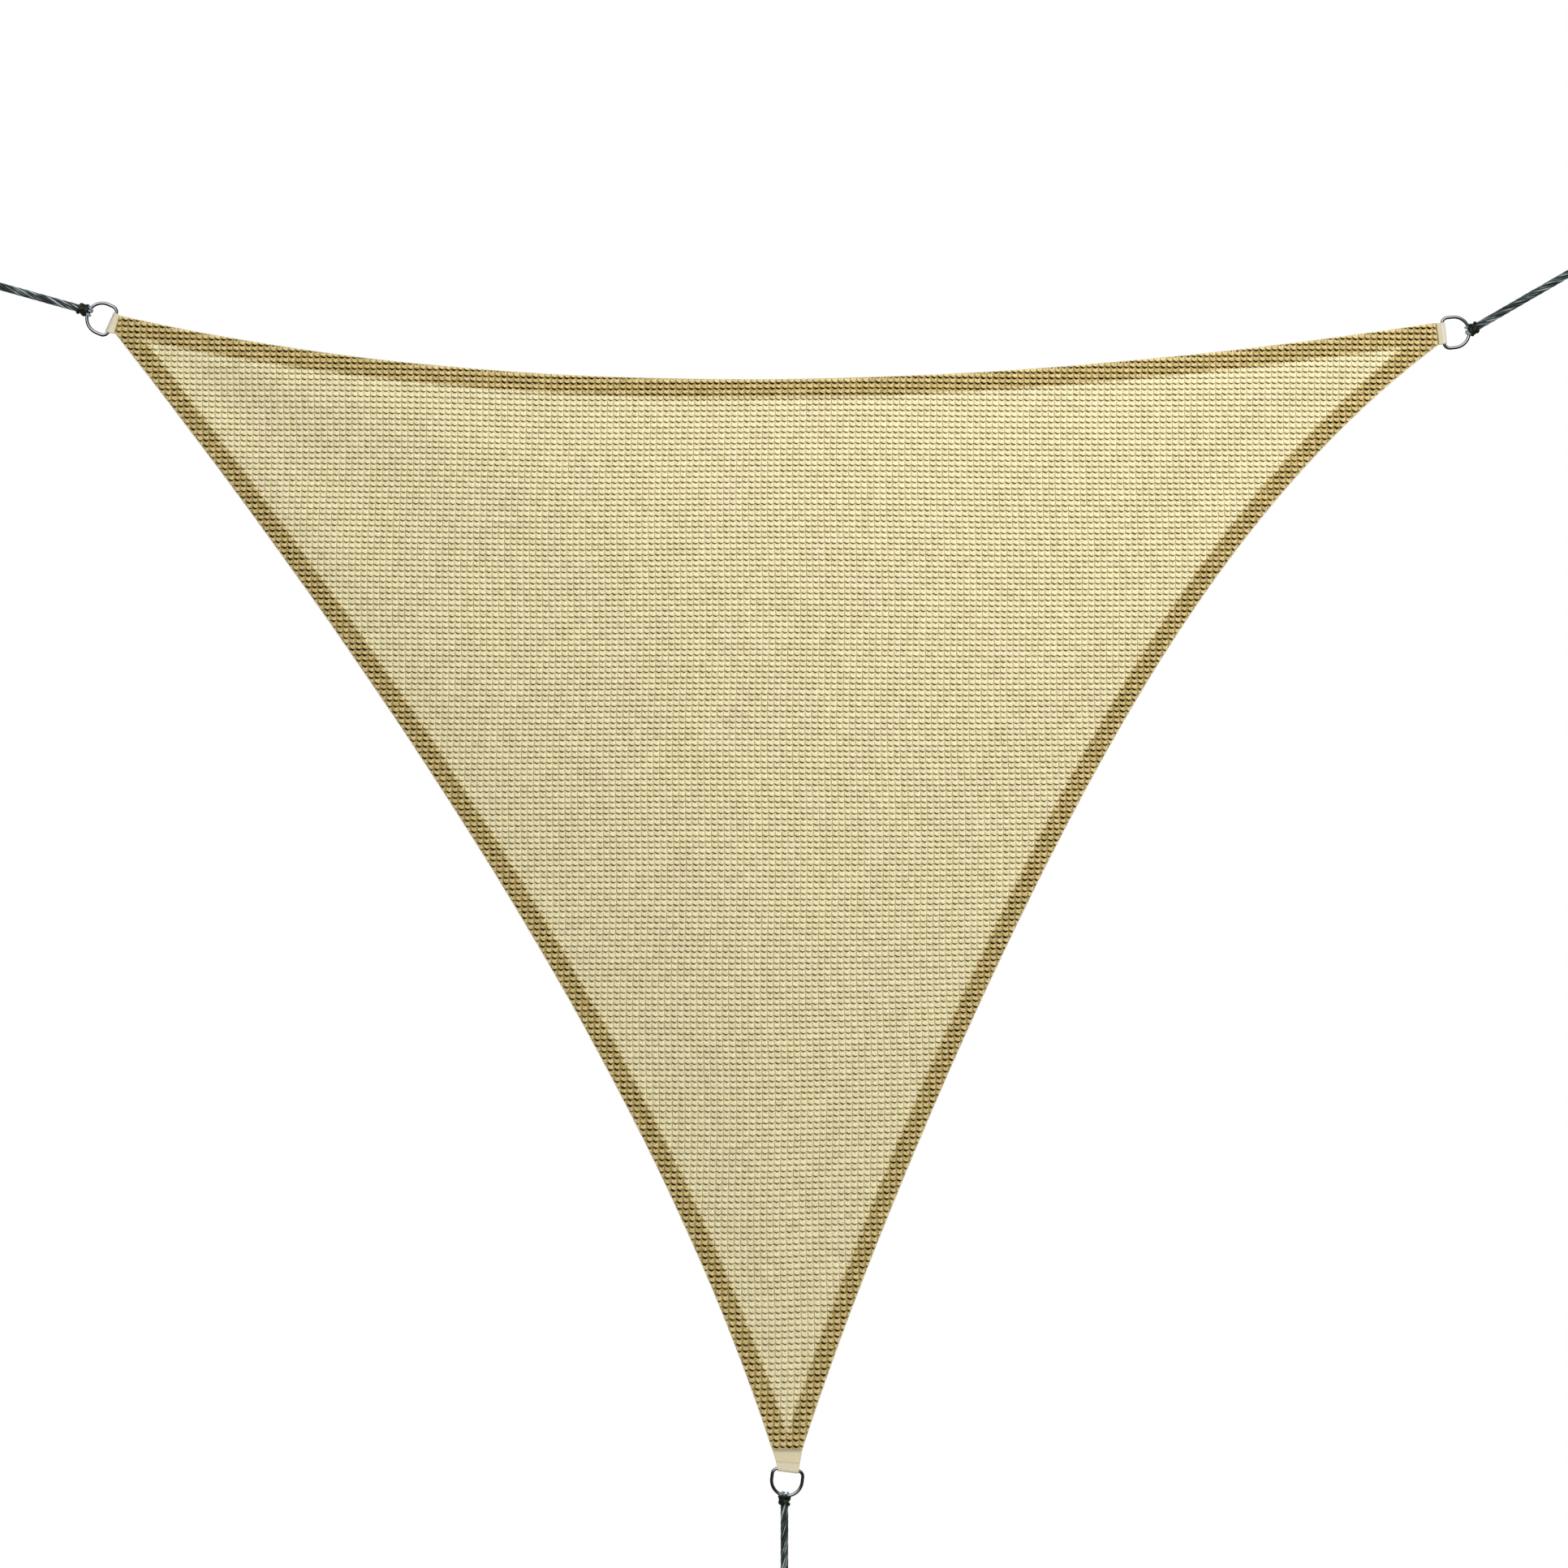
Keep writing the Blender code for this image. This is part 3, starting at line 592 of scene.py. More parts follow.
def mix(tree, share, first, second):
    """A blend of two colours, each a field or red, green and blue."""
    inputs = {0: share}
    for key, colour in ((6, first), (7, second)):
        inputs[key] = (*colour, 1) if isinstance(colour, tuple) else colour
    return field(tree, "ShaderNodeMix", inputs, 2, data_type="RGBA")


def noise(tree, scale, detail=2.0, where=None):
    where = where or field(tree, "ShaderNodeTexCoord", output="Object")
    inputs = {"Vector": where, "Scale": scale, "Detail": detail}
    return field(tree, "ShaderNodeTexNoise", inputs, "Fac")


def paint(tree, colour, height, deep, **looks):
    """Give a finish its colour and its relief, which is `deep` from low to high."""
    inputs = {"Height": height, "Distance": deep, "Strength": 1.0}
    relief = field(tree, "ShaderNodeBump", inputs)
    wire(tree, tree.nodes["Principled BSDF"], {"Base Color": colour, "Normal": relief} | looks)


def rope_finish(name, dark, pale, roughness, highlight_share):
    """The last argument is how much of the crests takes the painted highlight, from 0 to 1."""
    material, tree = new_finish(name, roughness, shine=0.4)
    along, around, crest, strand = stored(tree, "along", "around", "crest", "strand")
    slant = (along / FILAMENT_LAY + around * FILAMENTS) * math.tau
    filament = slant.math("SINE") * 0.5 + 0.5
    scaled = [part * size for part, size in zip((strand, along, around), STREAK_SCALE)]
    streaky = noise(tree, scale=1.0, detail=3.0, where=vector(tree, *scaled))
    streak = ((streaky - (HIGHLIGHT_FROM - MORE_HIGHLIGHT * highlight_share)) * STREAK_SHARP).clamped()
    # Only the crests take the pale colour: a painted highlight, with painted shade in the grooves.
    raised = ((crest - CREST_FROM) * CREST_SHARP).clamped()
    shown = streak * STREAK_WEIGHT + filament * FILAMENT_WEIGHT + LEAST_WEIGHT
    colour = mix(tree, (raised * shown).clamped(), dark, pale)
    paint(tree, colour, filament + streak * 0.5, deep=0.2 * MM)
    return material


rope_green = rope_finish("rope_green", ROPE_DARK, ROPE_HIGHLIGHT, roughness=0.42, highlight_share=0.47)
# The knots take a darker copy of the rope's finish, painted shade in the tight lump, and the bights a paler, bluer
# copy, a painted highlight.
knot_green = rope_finish("knot_green", KNOT_DARK, KNOT_HIGHLIGHT, roughness=0.45, highlight_share=0.4)
bight_pale = rope_finish("bight_pale", BIGHT_DARK, BIGHT_HIGHLIGHT, roughness=0.40, highlight_share=0.85)
print("the rope's finishes are", rope_green.name, knot_green.name, bight_pale.name)

# %% [markdown]
# Each rope runs taut from its knot on the ring. The picture cuts it off, so it ends as such a
# rope does just outside: in a stopper knot and an end loop that goes over a hook. One line
# describes all of it: straight from the ring, out along one leg of the loop, round the loop and
# back along the other leg into the knot.

# %% Ropes
STRANDS, STRAND_RADIUS = 8, 1.78 * MM
ROPE_LAY, ROPE_STEP = 95.0 * MM, 2.5 * MM
EYE_LEG_START = 8.0 * MM
LINE_STEPS, EYE_STEPS, BEND_STEPS = 12, 24, 5


def rope_line(corner):
    """The rope's middle line from the ring's knot to the end of its loop."""
    out, start = way(corner.rope_turn), rope_parts(corner)
    slope = math.radians(EYE_SLOPE)
    run = (start - lump_middle(corner)).length
    line = [Vector((run * (i / LINE_STEPS - 1), 0)) for i in range(LINE_STEPS)]
    for i in range(BEND_STEPS + 1):
        bend = slope * i / BEND_STEPS
        line.append(Vector((math.sin(bend), 1 - math.cos(bend))) * EYE_SPLIT_RADIUS)
    for i in range(EYE_STEPS + 1):
        turn = (90 + EYE_SLOPE) * (1 - 2 * i / EYE_STEPS)
        line.append(Vector((eye_middle(), 0)) + way(turn) * EYE_RADIUS)
    split_off = EYE_SPLIT_RADIUS * (1 - math.cos(slope))
    begin = EYE_SPLIT_RADIUS * math.sin(slope) + (EYE_LEG_START - split_off) / math.tan(slope)
    line.append(Vector((begin, -EYE_LEG_START)))
    return [place(start + out * p[0] + square_to(out) * p[1]) for p in line]


def line_curve(points, cyclic=False):
    """A curve object of straight pieces, for a tree or a bevel to work on."""
    curve = bpy.data.curves.new("line", "CURVE")
    curve.dimensions = "3D"
    spline = curve.splines.new("POLY")
    spline.points.add(len(points) - 1)
    spline.use_cyclic_u = cyclic
    for knot, point in zip(spline.points, points):
        knot.co = (*point, 1)
    return new_object("line", curve)


def lay_rope(name, points, radius, strands, strand_radius, lay, step, finish, cyclic=False):
    sizes = {"Strands": strands, "Strand radius": strand_radius, "Lay": lay, "Step": step}
    sizes |= {"Winding": radius - strand_radius, "Finish": finish}
    return apply_tree(name, line_curve(points, cyclic), laid_rope, sizes)


def measure(points):
    return sum((b - a).length for a, b in zip(points, points[1:]))


rope_sizes = (ROPE_RADIUS, STRANDS, STRAND_RADIUS, ROPE_LAY, ROPE_STEP, rope_green)
ropes = {}
for corner in CORNERS:
    line = rope_line(corner)
    ropes[corner.name] = lay_rope(f"laid_rope_{corner.name}", line, *rope_sizes), line
    print("the", corner.name, "rope is", round(measure(line), 3), "m long")

# %% [markdown]
# ## Knots
#
# The knot on the ring shows as three bights over the wire and a small, hard, dark lump with turns
# across it. A single curve that really ties the knot would run through itself at this size, so
# the turns are rings of laid rope round a core of the same yarn, which is what the eye sees of
# such a knot. The core and the lump's turns take a darker copy of the rope's finish, as painted
# shade in the tight knot, and the bights a paler, bluer copy, as a painted highlight. The stopper
# knot of the end loop is made alike.

# %% Knots
BIGHT_RADIUS, BIGHT_TURN = 2.0 * MM, 4.5 * MM
BIGHTS = ((-15.0, -16.0), (-3.0, 13.0), (10.0, -9.0))  # place on the ring and twist, in degrees
WRAP_TURN, WRAP_RADIUS, WRAP_LEAN = 7.4 * MM, 3.0 * MM, 0.25
HITCH_WRAPS = ((-34.0, 1.6), (24.0, 3.4), (-8.0, 8.4))  # tilt in degrees, mm short of its end
END_WRAP_TURN, END_WRAP_RADIUS, END_WRAP_LEAN = 10.6 * MM, 4.4 * MM, 0.16
END_WRAPS = ((-24.0, 5.6), (22.0, -5.4), (56.0, 0.8), (-58.0, -0.6))  # tilt, mm to the loop
HITCH_CORE, END_CORE = (0.9, 0.86, 0.86), (0.70, 0.72, 0.86)  # of the knot's own half sizes
CORE_SEGMENTS, CORE_RINGS = 24, 16
TURN_STEPS, TURN_STEP, TURN_TWISTS = 32, 2.1 * MM, 3
TURN_STRANDS, TURN_STRAND = 5, 0.42  # the radius of a strand as a share of its turn's


def upright(arm, lean=0.0):
    return Vector((arm[0], lean, arm[1]))


def rope_turn(middle, axis, turn_radius, radius, finish):
    """One closed turn of thin laid rope about an axis."""
    swing = Vector((0, 0, 1)).rotation_difference(axis).to_matrix()
    arms = [way(360 * i / TURN_STEPS) * turn_radius for i in range(TURN_STEPS)]
    points = [middle + swing @ Vector((*arm, 0)) for arm in arms]
    lay = math.tau * turn_radius / TURN_TWISTS
    sizes = (radius, TURN_STRANDS, radius * TURN_STRAND, lay, TURN_STEP, finish)
    return lay_rope("turn", points, *sizes, cyclic=True)


def ball(name, sizes, segments, rings):
    """A small rounded body, stretched to its sizes."""
    bm = bmesh.new()
    bmesh.ops.create_uvsphere(bm, u_segments=segments, v_segments=rings, radius=0.5)
    bmesh.ops.scale(bm, vec=sizes, verts=bm.verts)
    mesh = bpy.data.meshes.new(name)
    bm.to_mesh(mesh)
    bm.free()
    return new_object(name, mesh)


def knot_core(halves, shares, turn, middle):
    """The filled inside of a knot, an uneven ball of yarn."""
    along, across, deep = (2 * half * share for half, share in zip(halves, shares))
    core = ball("core", (along, deep, across), CORE_SEGMENTS, CORE_RINGS)
    turned = Matrix.Rotation(-math.radians(turn), 4, "Y")
    core.data.transform(Matrix.Translation(middle) @ turned)
    core.data.shade_smooth()
    core.data.materials.append(knot_green)
    return core


def join(name, objects):
    """One mesh object of several."""
    with bpy.context.temp_override(
        active_object=objects[0], selected_editable_objects=objects, object=objects[0]
    ):
        bpy.ops.object.join()
    objects[0].name = objects[0].data.name = name
    return objects[0]


# %% Tie the knots
def wrap(corner, middle, past, tilt, lean, *sizes):
    """A turn round the rope `past` a knot's middle, tilted and leaning out of the plan."""
    around = upright(way(corner.rope_turn + tilt), math.copysign(lean, tilt))
    return rope_turn(middle + upright(way(corner.rope_turn)) * past, around, *sizes)


def tie_hitch(corner):
    """The knot on the ring."""
    middle, sizes = place(lump_middle(corner)), (WRAP_TURN, WRAP_RADIUS, knot_green)
    halves = (corner.lump_along, LUMP_ACROSS, LUMP_DEEP)
    pieces = [knot_core(halves, HITCH_CORE, corner.rope_turn, middle)]
    for spread, twist in BIGHTS:
        turn = corner.knot_turn + spread
        on_wire = place(ring_arc_middle(corner) + way(turn) * RING_HALF)
        around = upright(square_to(way(turn + twist)))
        pieces.append(rope_turn(on_wire, around, BIGHT_TURN, BIGHT_RADIUS, bight_pale))
    for tilt, back in HITCH_WRAPS:
        past = corner.lump_along - WRAP_RADIUS - back * MM
        pieces.append(wrap(corner, middle, past, tilt, WRAP_LEAN, *sizes))
    return join(f"hitch_{corner.name}", pieces)


def tie_end_knot(corner):
    """The knot that closes the end loop."""
    middle = place(rope_parts(corner) + way(corner.rope_turn) * END_KNOT_MIDDLE)
    halves = (END_KNOT_ALONG, END_KNOT_ACROSS, END_KNOT_DEEP)
    sizes = (END_WRAP_TURN, END_WRAP_RADIUS, rope_green)
    pieces = [knot_core(halves, END_CORE, corner.rope_turn, middle)]
    for tilt, past in END_WRAPS:
        pieces.append(wrap(corner, middle, past * MM, tilt, END_WRAP_LEAN, *sizes))
    return join(f"stopper_knot_{corner.name}", pieces)


for corner in CORNERS:
    rope, line = ropes[corner.name]
    hitch, stopper = tie_hitch(corner), tie_end_knot(corner)
    for piece in (rope, hitch, stopper):
        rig.ride(piece, "root")
        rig.slot(piece, "rope")
    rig.replaces(rope, f"rope_{corner.name}", f"end_eye_{corner.name}")
    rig.replaces(hitch, f"ring_hitch_{corner.name}")
    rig.replaces(stopper, f"end_knot_{corner.name}")
    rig.cord(
        rope,
        exit=line[0],
        length=corner.rope_long,
        diameter=2 * ROPE_RADIUS,
        far_end="knot",
        stiffness="limp",
        lay="taut",
        path=line,
        with_pieces=[hitch, stopper],
    )

# %% [markdown]
# ## D-rings
#
# Each ring is bent from one round steel wire: a straight bar, two tight bends and a half circle.
# A curve with a round bevel gives such a wire directly, smoother than the model's own, so it
# stands for it. The steel is polished, with faint marks of handling that only its gloss shows.

# %% Rings
RING_CORNER_STEPS, RING_ARC_STEPS, WIRE_RESOLUTION = 8, 56, 6
STEEL, STEEL_RUBBED = (0.60, 0.60, 0.61), (0.44, 0.44, 0.46)
RUBBED_SHARE, LEAST_ROUGH, RUBBED_ROUGH = 0.35, 0.05, 0.08


def steel_finish():
    material, tree = new_finish("polished_steel", roughness=0.1)
    rubbed, fine = noise(tree, scale=90.0, detail=3.0), noise(tree, scale=1500.0)
    colour = mix(tree, rubbed * RUBBED_SHARE, STEEL, STEEL_RUBBED)
    rough = rubbed * RUBBED_ROUGH + LEAST_ROUGH
    paint(tree, colour, fine, deep=0.012 * MM, Metallic=1.0, Roughness=rough)
    return material


def ring_points(corner):
    outline = []
    for i in range(RING_CORNER_STEPS + 1):
        angle = math.pi / 2 * i / RING_CORNER_STEPS
        across = RING_HALF - RING_CORNER * (1 - math.sin(angle))
        outline.append((RING_CORNER * (1 - math.cos(angle)), across))
    for i in range(RING_ARC_STEPS + 1):
        angle = math.pi * i / RING_ARC_STEPS
        out, across = RING_ARC_OUT + RING_HALF * math.sin(angle), RING_HALF * math.cos(angle)
        outline.append((out, across))
    outline += [(out, -across) for out, across in reversed(outline[: RING_CORNER_STEPS + 1])]
    out_way = way(corner.ring_turn)
    return [place(corner.bar + out_way * p[0] + square_to(out_way) * p[1]) for p in outline]


def bend_wire(name, points, radius, resolution, finish, cyclic=False):
    """A round wire along a line."""
    source = line_curve(points, cyclic)
    source.data.bevel_depth, source.data.bevel_resolution = radius, resolution
    source.data.use_fill_caps = not cyclic
    source.data.materials.append(finish)
    bent = as_mesh(name, source)
    bent.data.shade_smooth()
    return bent


polished_steel = steel_finish()
ring_sizes = (WIRE_RADIUS, WIRE_RESOLUTION, polished_steel)
for corner in CORNERS:
    ring = bend_wire(f"steel_ring_{corner.name}", ring_points(corner), *ring_sizes, cyclic=True)
    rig.ride(ring, "root")
    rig.slot(ring, "ring_steel")
    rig.replaces(ring, f"d_ring_{corner.name}")

# %% [markdown]
# ## Webbing straps
#
# A strap is one length of cream webbing, 1.5 mm thick. It is sewn behind the tip of the cloth,
# goes round the ring's bar and ends in a short flap on the front. The strap is lofted: a flat
# section with round edges is carried along its middle line, which knows the strap's width and
# depth at every step. In front, where it bends round the bar, its colour is painted greyer:
# painted shade on the roll.

# %% Straps
GAP, ROLL_GAP = 0.3 * MM, 0.5 * MM
STRAP_THICK, STRAP_AT_BAR, STRAP_BEHIND = 1.5 * MM, 32.4 * MM, 46.0 * MM
STRAP_ROLL = WIRE_RADIUS + ROLL_GAP + STRAP_THICK / 2
FLAP_SLOPE = 37.0
STRAP_TURNS, STRAP_STEP, STRAP_LANES = 20, 3.0 * MM, 9
SELVEDGE = ((-0.5, 0.22), (-0.492, 0.8), (-0.47, 1.0), (-0.46, 0.9))  # place and thickness
SELVEDGE_FROM, LANES_REACH, LANES_THICK = 0.48, 0.4, 0.9


def corner_middle(corner):
    return (corner.first + corner.second) / 2


def facing(arm, other):
    return (arm if arm.dot(other) > 0 else -arm).normalized()


def strap_line(corner, reach):
    """The strap's middle `reach` inward of the bar, the way across it there and its width."""
    out = way(corner.ring_turn)
    bar_across = square_to(out)
    cut_across = facing(corner.second - corner.first, bar_across)
    cloth_end = corner_middle(corner) - corner.bar
    if reach <= 0:
        return corner.bar - out * reach, bar_across, STRAP_AT_BAR
    if reach <= cloth_end.length:
        share = reach / cloth_end.length
        wide = STRAP_AT_BAR + (corner.cloth_wide - STRAP_AT_BAR) * share
        return corner.bar + cloth_end * share, bar_across.lerp(cut_across, share), wide
    past = reach - cloth_end.length
    share = past / STRAP_BEHIND
    behind = way(corner.inward_turn)
    behind_across = facing(square_to(behind), bar_across)
    wide = corner.cloth_wide + (corner.inner_wide - corner.cloth_wide) * share
    across = cut_across.lerp(behind_across, min(1.0, 2 * share)).normalized()
    return corner_middle(corner) + behind * past, across, wide


def strap_stations(corner):
    """The strap's middle line from its flap, round the bar and in behind the cloth: how far
    inward of the bar each point lies, and how deep."""
    slope = math.radians(FLAP_SLOPE)
    leave, leave_depth = STRAP_ROLL * math.sin(slope), -STRAP_ROLL * math.cos(slope)
    on_leg = STRAP_ROLL - STRAP_THICK - GAP
    landed = leave + (on_leg - leave_depth) / math.tan(slope)
    if corner.flap > landed:
        turns = [(corner.flap, on_leg), (landed, on_leg)]
    else:
        turns = [(corner.flap, leave_depth + (corner.flap - leave) * math.tan(slope))]
    for i in range(STRAP_TURNS + 1):
        angle = -slope + (math.pi + slope) * i / STRAP_TURNS
        turns.append((-STRAP_ROLL * math.sin(angle), -STRAP_ROLL * math.cos(angle)))
    cloth_end = (corner_middle(corner) - corner.bar).length
    turns += [(cloth_end, STRAP_ROLL), (cloth_end + STRAP_BEHIND, STRAP_ROLL)]
    stations = []
    for a, b in zip(turns, turns[1:]):
        steps = math.ceil(math.dist(a, b) / STRAP_STEP)
        for share in (i / steps for i in range(steps)):
            stations.append((a[0] + (b[0] - a[0]) * share, a[1] + (b[1] - a[1]) * share))
    return [*stations, turns[-1]]


for corner in CORNERS:
    print(corner.name, "strap has", len(strap_stations(corner)), "stations")

# %% Loft the straps
def strap_section():
    """The strap's closed section: across from -0.5 to 0.5, and front or back from -1 to 1."""
    lanes = (2 * i / (STRAP_LANES - 1) - 1 for i in range(STRAP_LANES))
    inside = [(LANES_REACH * lane, LANES_THICK) for lane in lanes]
    half = [*SELVEDGE, *inside, *((-across, thick) for across, thick in reversed(SELVEDGE))]
    return half + [(across, -thick) for across, thick in reversed(half)]


def keep_value(obj, name, values):
    obj.data.attributes.new(name, "FLOAT", "POINT").data.foreach_set("value", values)


def loft_faces(rows, wide):
    """The faces of a closed section of `wide` points carried along `rows` stations."""
    last = (rows - 1) * wide
    faces = []
    for at in range(0, last, wide):
        for j in range(wide):
            a, b = at + j, at + (j + 1) % wide
            faces.append((a, a + wide, b + wide, b))
    for at, order in ((0, 1), (last, -1)):
        for j in range(wide // 2 - 1):
            cap = (at + j, at + j + 1, at + wide - 2 - j, at + wide - 1 - j)
            faces.append(cap[::order])
    return faces


def loft_strap(corner):
    stations, section = strap_stations(corner), strap_section()
    middles = [place(strap_line(corner, reach)[0], depth) for reach, depth in stations]
    verts, run, marks = [], 0.0, []
    for i, (reach, depth) in enumerate(stations):
        _, across, wide = strap_line(corner, reach)
        before, after = middles[max(i - 1, 0)], middles[min(i + 1, len(middles) - 1)]
        run += (middles[i] - before).length
        out = upright(across).cross(after - before).normalized()
        # The front of the strap near the bar is marked for painted shade on the roll.
        in_sight = reach < corner.grey and depth < STRAP_ROLL - STRAP_THICK
        darkened = corner.wear if in_sight else 0.0
        for share, thick in section:
            shift = upright(across) * (share * wide) + out * (thick * STRAP_THICK / 2)
            verts.append(middles[i] + shift)
            marks.append((run, share * wide, darkened, float(abs(share) > SELVEDGE_FROM)))
    faces = loft_faces(len(stations), len(section))
    strap = mesh_object(f"webbing_strap_{corner.name}", verts, faces)
    bm = bmesh.new()
    bm.from_mesh(strap.data)
    bmesh.ops.recalc_face_normals(bm, faces=bm.faces)
    bm.to_mesh(strap.data)
    bm.free()
    strap.data.shade_smooth()
    for name, values in zip(("along", "across", "grey", "selvedge"), zip(*marks)):
        keep_value(strap, name, values)
    return strap


print("the section of a strap has", len(strap_section()), "points")

# %% [markdown]
# Webbing shows fine ribs across it and a tighter edge. Both come from the distances that the
# loft stored along and across the strap, so they bend with it.

# %% Webbing finish
# The greyer colour is painted shade on the roll round the bar.
WEB_CREAM, WEB_ROLL_SHADE, WEB_DULL = (0.72, 0.64, 0.43), (0.60, 0.575, 0.48), (0.50, 0.43, 0.27)
RIB, END = 1.5 * MM, 2.2 * MM
WEAVE_SHADE, CLOUD_SHADE, SELVEDGE_SHADE = 0.30, 0.14, 0.4


def webbing_finish():
    material, tree = new_finish("cream_webbing", roughness=0.75, shine=0.3)
    along, across, grey, selvedge = stored(tree, "along", "across", "grey", "selvedge")
    rib = (along * (math.tau / RIB)).math("SINE")
    end = (across * (math.tau / END)).math("SINE")
    weave = rib * end * 0.5 + 0.5
    cloudy = noise(tree, scale=60.0, detail=3.0)
    # Painted shade: the strap turns greyer where it rolls round the bar.
    colour = mix(tree, grey, WEB_CREAM, WEB_ROLL_SHADE)
    dull = (1.0 - weave) * WEAVE_SHADE + cloudy * CLOUD_SHADE + selvedge * SELVEDGE_SHADE
    paint(tree, mix(tree, dull.clamped(), colour, WEB_DULL), weave, deep=0.05 * MM)
    return material


cream_webbing = webbing_finish()
for corner in CORNERS:
    strap = loft_strap(corner)
    strap.data.materials.append(cream_webbing)
    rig.ride(strap, "root")
    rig.slot(strap, "webbing")
    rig.replaces(strap, f"corner_strap_{corner.name}")
    print(strap.name, "has", 2 * len(strap.data.polygons), "triangles")

# %% [markdown]
# ## The cloth's shape
#
# The cloth hangs in a shallow belly towards the front, pulled into low ridges that fan out from
# its corners, with a slow wave along its hems. All of it is a rule, the same that the model was
# built to: a side's hollow, the belly, the fans and the wave each have a formula, and the depth
# of any point of the plan follows from them. A cloth simulation would have to guess this set,
# and a rule gives the same cloth each time.

# %% The hollow sides
Side = namedtuple("Side", "start end sag lean fullness")
TOP_SIDE = Side(LEFT.first, RIGHT.first, 93.0 * MM, 0.33, 0.10)
RIGHT_SIDE = Side(RIGHT.second, BOTTOM.first, 125.0 * MM, 0.83, 1.00)
LEFT_SIDE = Side(BOTTOM.second, LEFT.second, 82.0 * MM, 0.52, 0.29)
SIDES = (TOP_SIDE, RIGHT_SIDE, LEFT_SIDE)
SLANT_STEP = 0.001  # of a side, over which its slant is taken


def hollow(side, t):
    bow = 1 + side.lean * (0.5 - t) + side.fullness * (t - 0.5) ** 2
    return 4 * side.sag * t * (1 - t) * bow


def inward(side):
    return -square_to(side.end - side.start).normalized()


def side_point(side, t):
    return side.start.lerp(side.end, t) + inward(side) * hollow(side, t)


def edge_slant(side, t):
    """How far the edge runs for each unit along its chord, and how much of that is inward."""
    low, high = max(t - SLANT_STEP, 0), min(t + SLANT_STEP, 1)
    chord = (side.end - side.start).length
    slope = (hollow(side, high) - hollow(side, low)) / (chord * (high - low))
    return math.hypot(1, slope), slope


def edge_way(side, t):
    """The way that the edge runs."""
    slant, slope = edge_slant(side, t)
    return ((side.end - side.start).normalized() + inward(side) * slope) / slant


def from_side(side, point):
    arm, chord = point - side.start, side.end - side.start
    t = min(max(arm.dot(chord) / chord.length_squared, 0), 1)
    return (arm.dot(inward(side)) - hollow(side, t)) / edge_slant(side, t)[0]


def from_edge(point):
    return min(from_side(side, point) for side in SIDES)


for side in SIDES:
    print("a side is hollow by", round(max(hollow(side, i / 100) for i in range(101)), 4), "m")

# %% Belly and folds
BELLY, CLOTH_DEPTH = 45.0 * MM, 0.7 * MM
FLAT_CORNER, CORNER_EASE = 70.0 * MM, 140.0 * MM
HEM_WAVE, HEM_WAVE_LENGTH, HEM_WAVE_DEPTH = 1.6 * MM, 330.0 * MM, 90.0 * MM

Fold = namedtuple("Fold", "corner turn fan height reach")
FOLDS = (
    Fold(LEFT, -19.0, 6.0, 5.0 * MM, 340.0 * MM),
    Fold(LEFT, -34.0, 7.0, -4.0 * MM, 300.0 * MM),
    Fold(LEFT, -47.0, 6.0, 3.5 * MM, 420.0 * MM),
    Fold(RIGHT, 197.0, 6.0, 4.0 * MM, 360.0 * MM),
    Fold(RIGHT, 212.0, 7.0, -4.5 * MM, 330.0 * MM),
    Fold(RIGHT, 224.0, 6.0, 3.0 * MM, 400.0 * MM),
    Fold(BOTTOM, 82.0, 6.0, -3.5 * MM, 320.0 * MM),
    Fold(BOTTOM, 97.0, 7.0, 4.5 * MM, 440.0 * MM),
)


def belly_at(point):
    a, b, c = (corner_middle(corner) for corner in CORNERS)
    whole = (b - a).cross(c - a)
    to_a = max((b - point).cross(c - point) / whole, 0)
    to_b = max((c - point).cross(a - point) / whole, 0)
    return 27 * to_a * to_b * max(1 - to_a - to_b, 0)


def fold_at(point):
    height = 0.0
    for fold in FOLDS:
        arm = point - corner_middle(fold.corner)
        off = math.degrees(math.atan2(arm[1], arm[0])) - fold.turn
        off = (off + 180) % 360 - 180
        far = arm.length / fold.reach
        height += fold.height * math.exp(-((off / fold.fan) ** 2)) * far * math.exp(1 - far)
    return height


def cloth_depth(point):
    wave = HEM_WAVE * math.sin(math.tau * (point[0] - point[1]) / HEM_WAVE_LENGTH)
    wave *= math.exp(-max(from_edge(point), 0.0) / HEM_WAVE_DEPTH)
    from_corner = min((point - corner_middle(corner)).length for corner in CORNERS)
    ease = min(max((from_corner - FLAT_CORNER) / CORNER_EASE, 0.0), 1.0)
    ease *= ease * (3 - 2 * ease)
    return CLOTH_DEPTH + (wave - BELLY * belly_at(point) - fold_at(point)) * ease


print("the middle of the cloth stands", round(-cloth_depth(Vector((0, -0.6))) / MM), "mm out")

# %% [markdown]
# The sheet is a grid that follows the outline: rows that start along the hollow top and grow
# straight, with columns crowded to the hems. The same grid is kept twice. Once it is the thin
# dark sheet behind the stitches, painted dark as the shade deep inside the cloth that shows in
# its slits. And once it lies flat with its depth stored, as the plan on which the stitches are
# set out.

# %% The sheet and its plan
SHEET_ROWS, SHEET_COLUMNS, HEM_ROWS = 90, 72, 3
CROWDING, MOST_HEM = 0.55, 0.3
SHEET_THICK, SHEET_INSET = 0.5 * MM, 0.9 * MM


def row_shares(wide, down, inset):
    left, right = (
        min(HEM_WIDTH / abs(edge_way(side, t)[1]) / wide, MOST_HEM)
        for side, t in ((LEFT_SIDE, 1 - down), (RIGHT_SIDE, down))
    )
    inside = []
    for column in range(SHEET_COLUMNS + 1):
        even = column / SHEET_COLUMNS
        crowded = (1 - math.cos(math.pi * even)) / 2
        inside.append(left + (1 - right - left) * (even + (crowded - even) * CROWDING))
    end = inset / wide
    return [end, left / 2, *inside, 1 - right / 2, 1 - end]


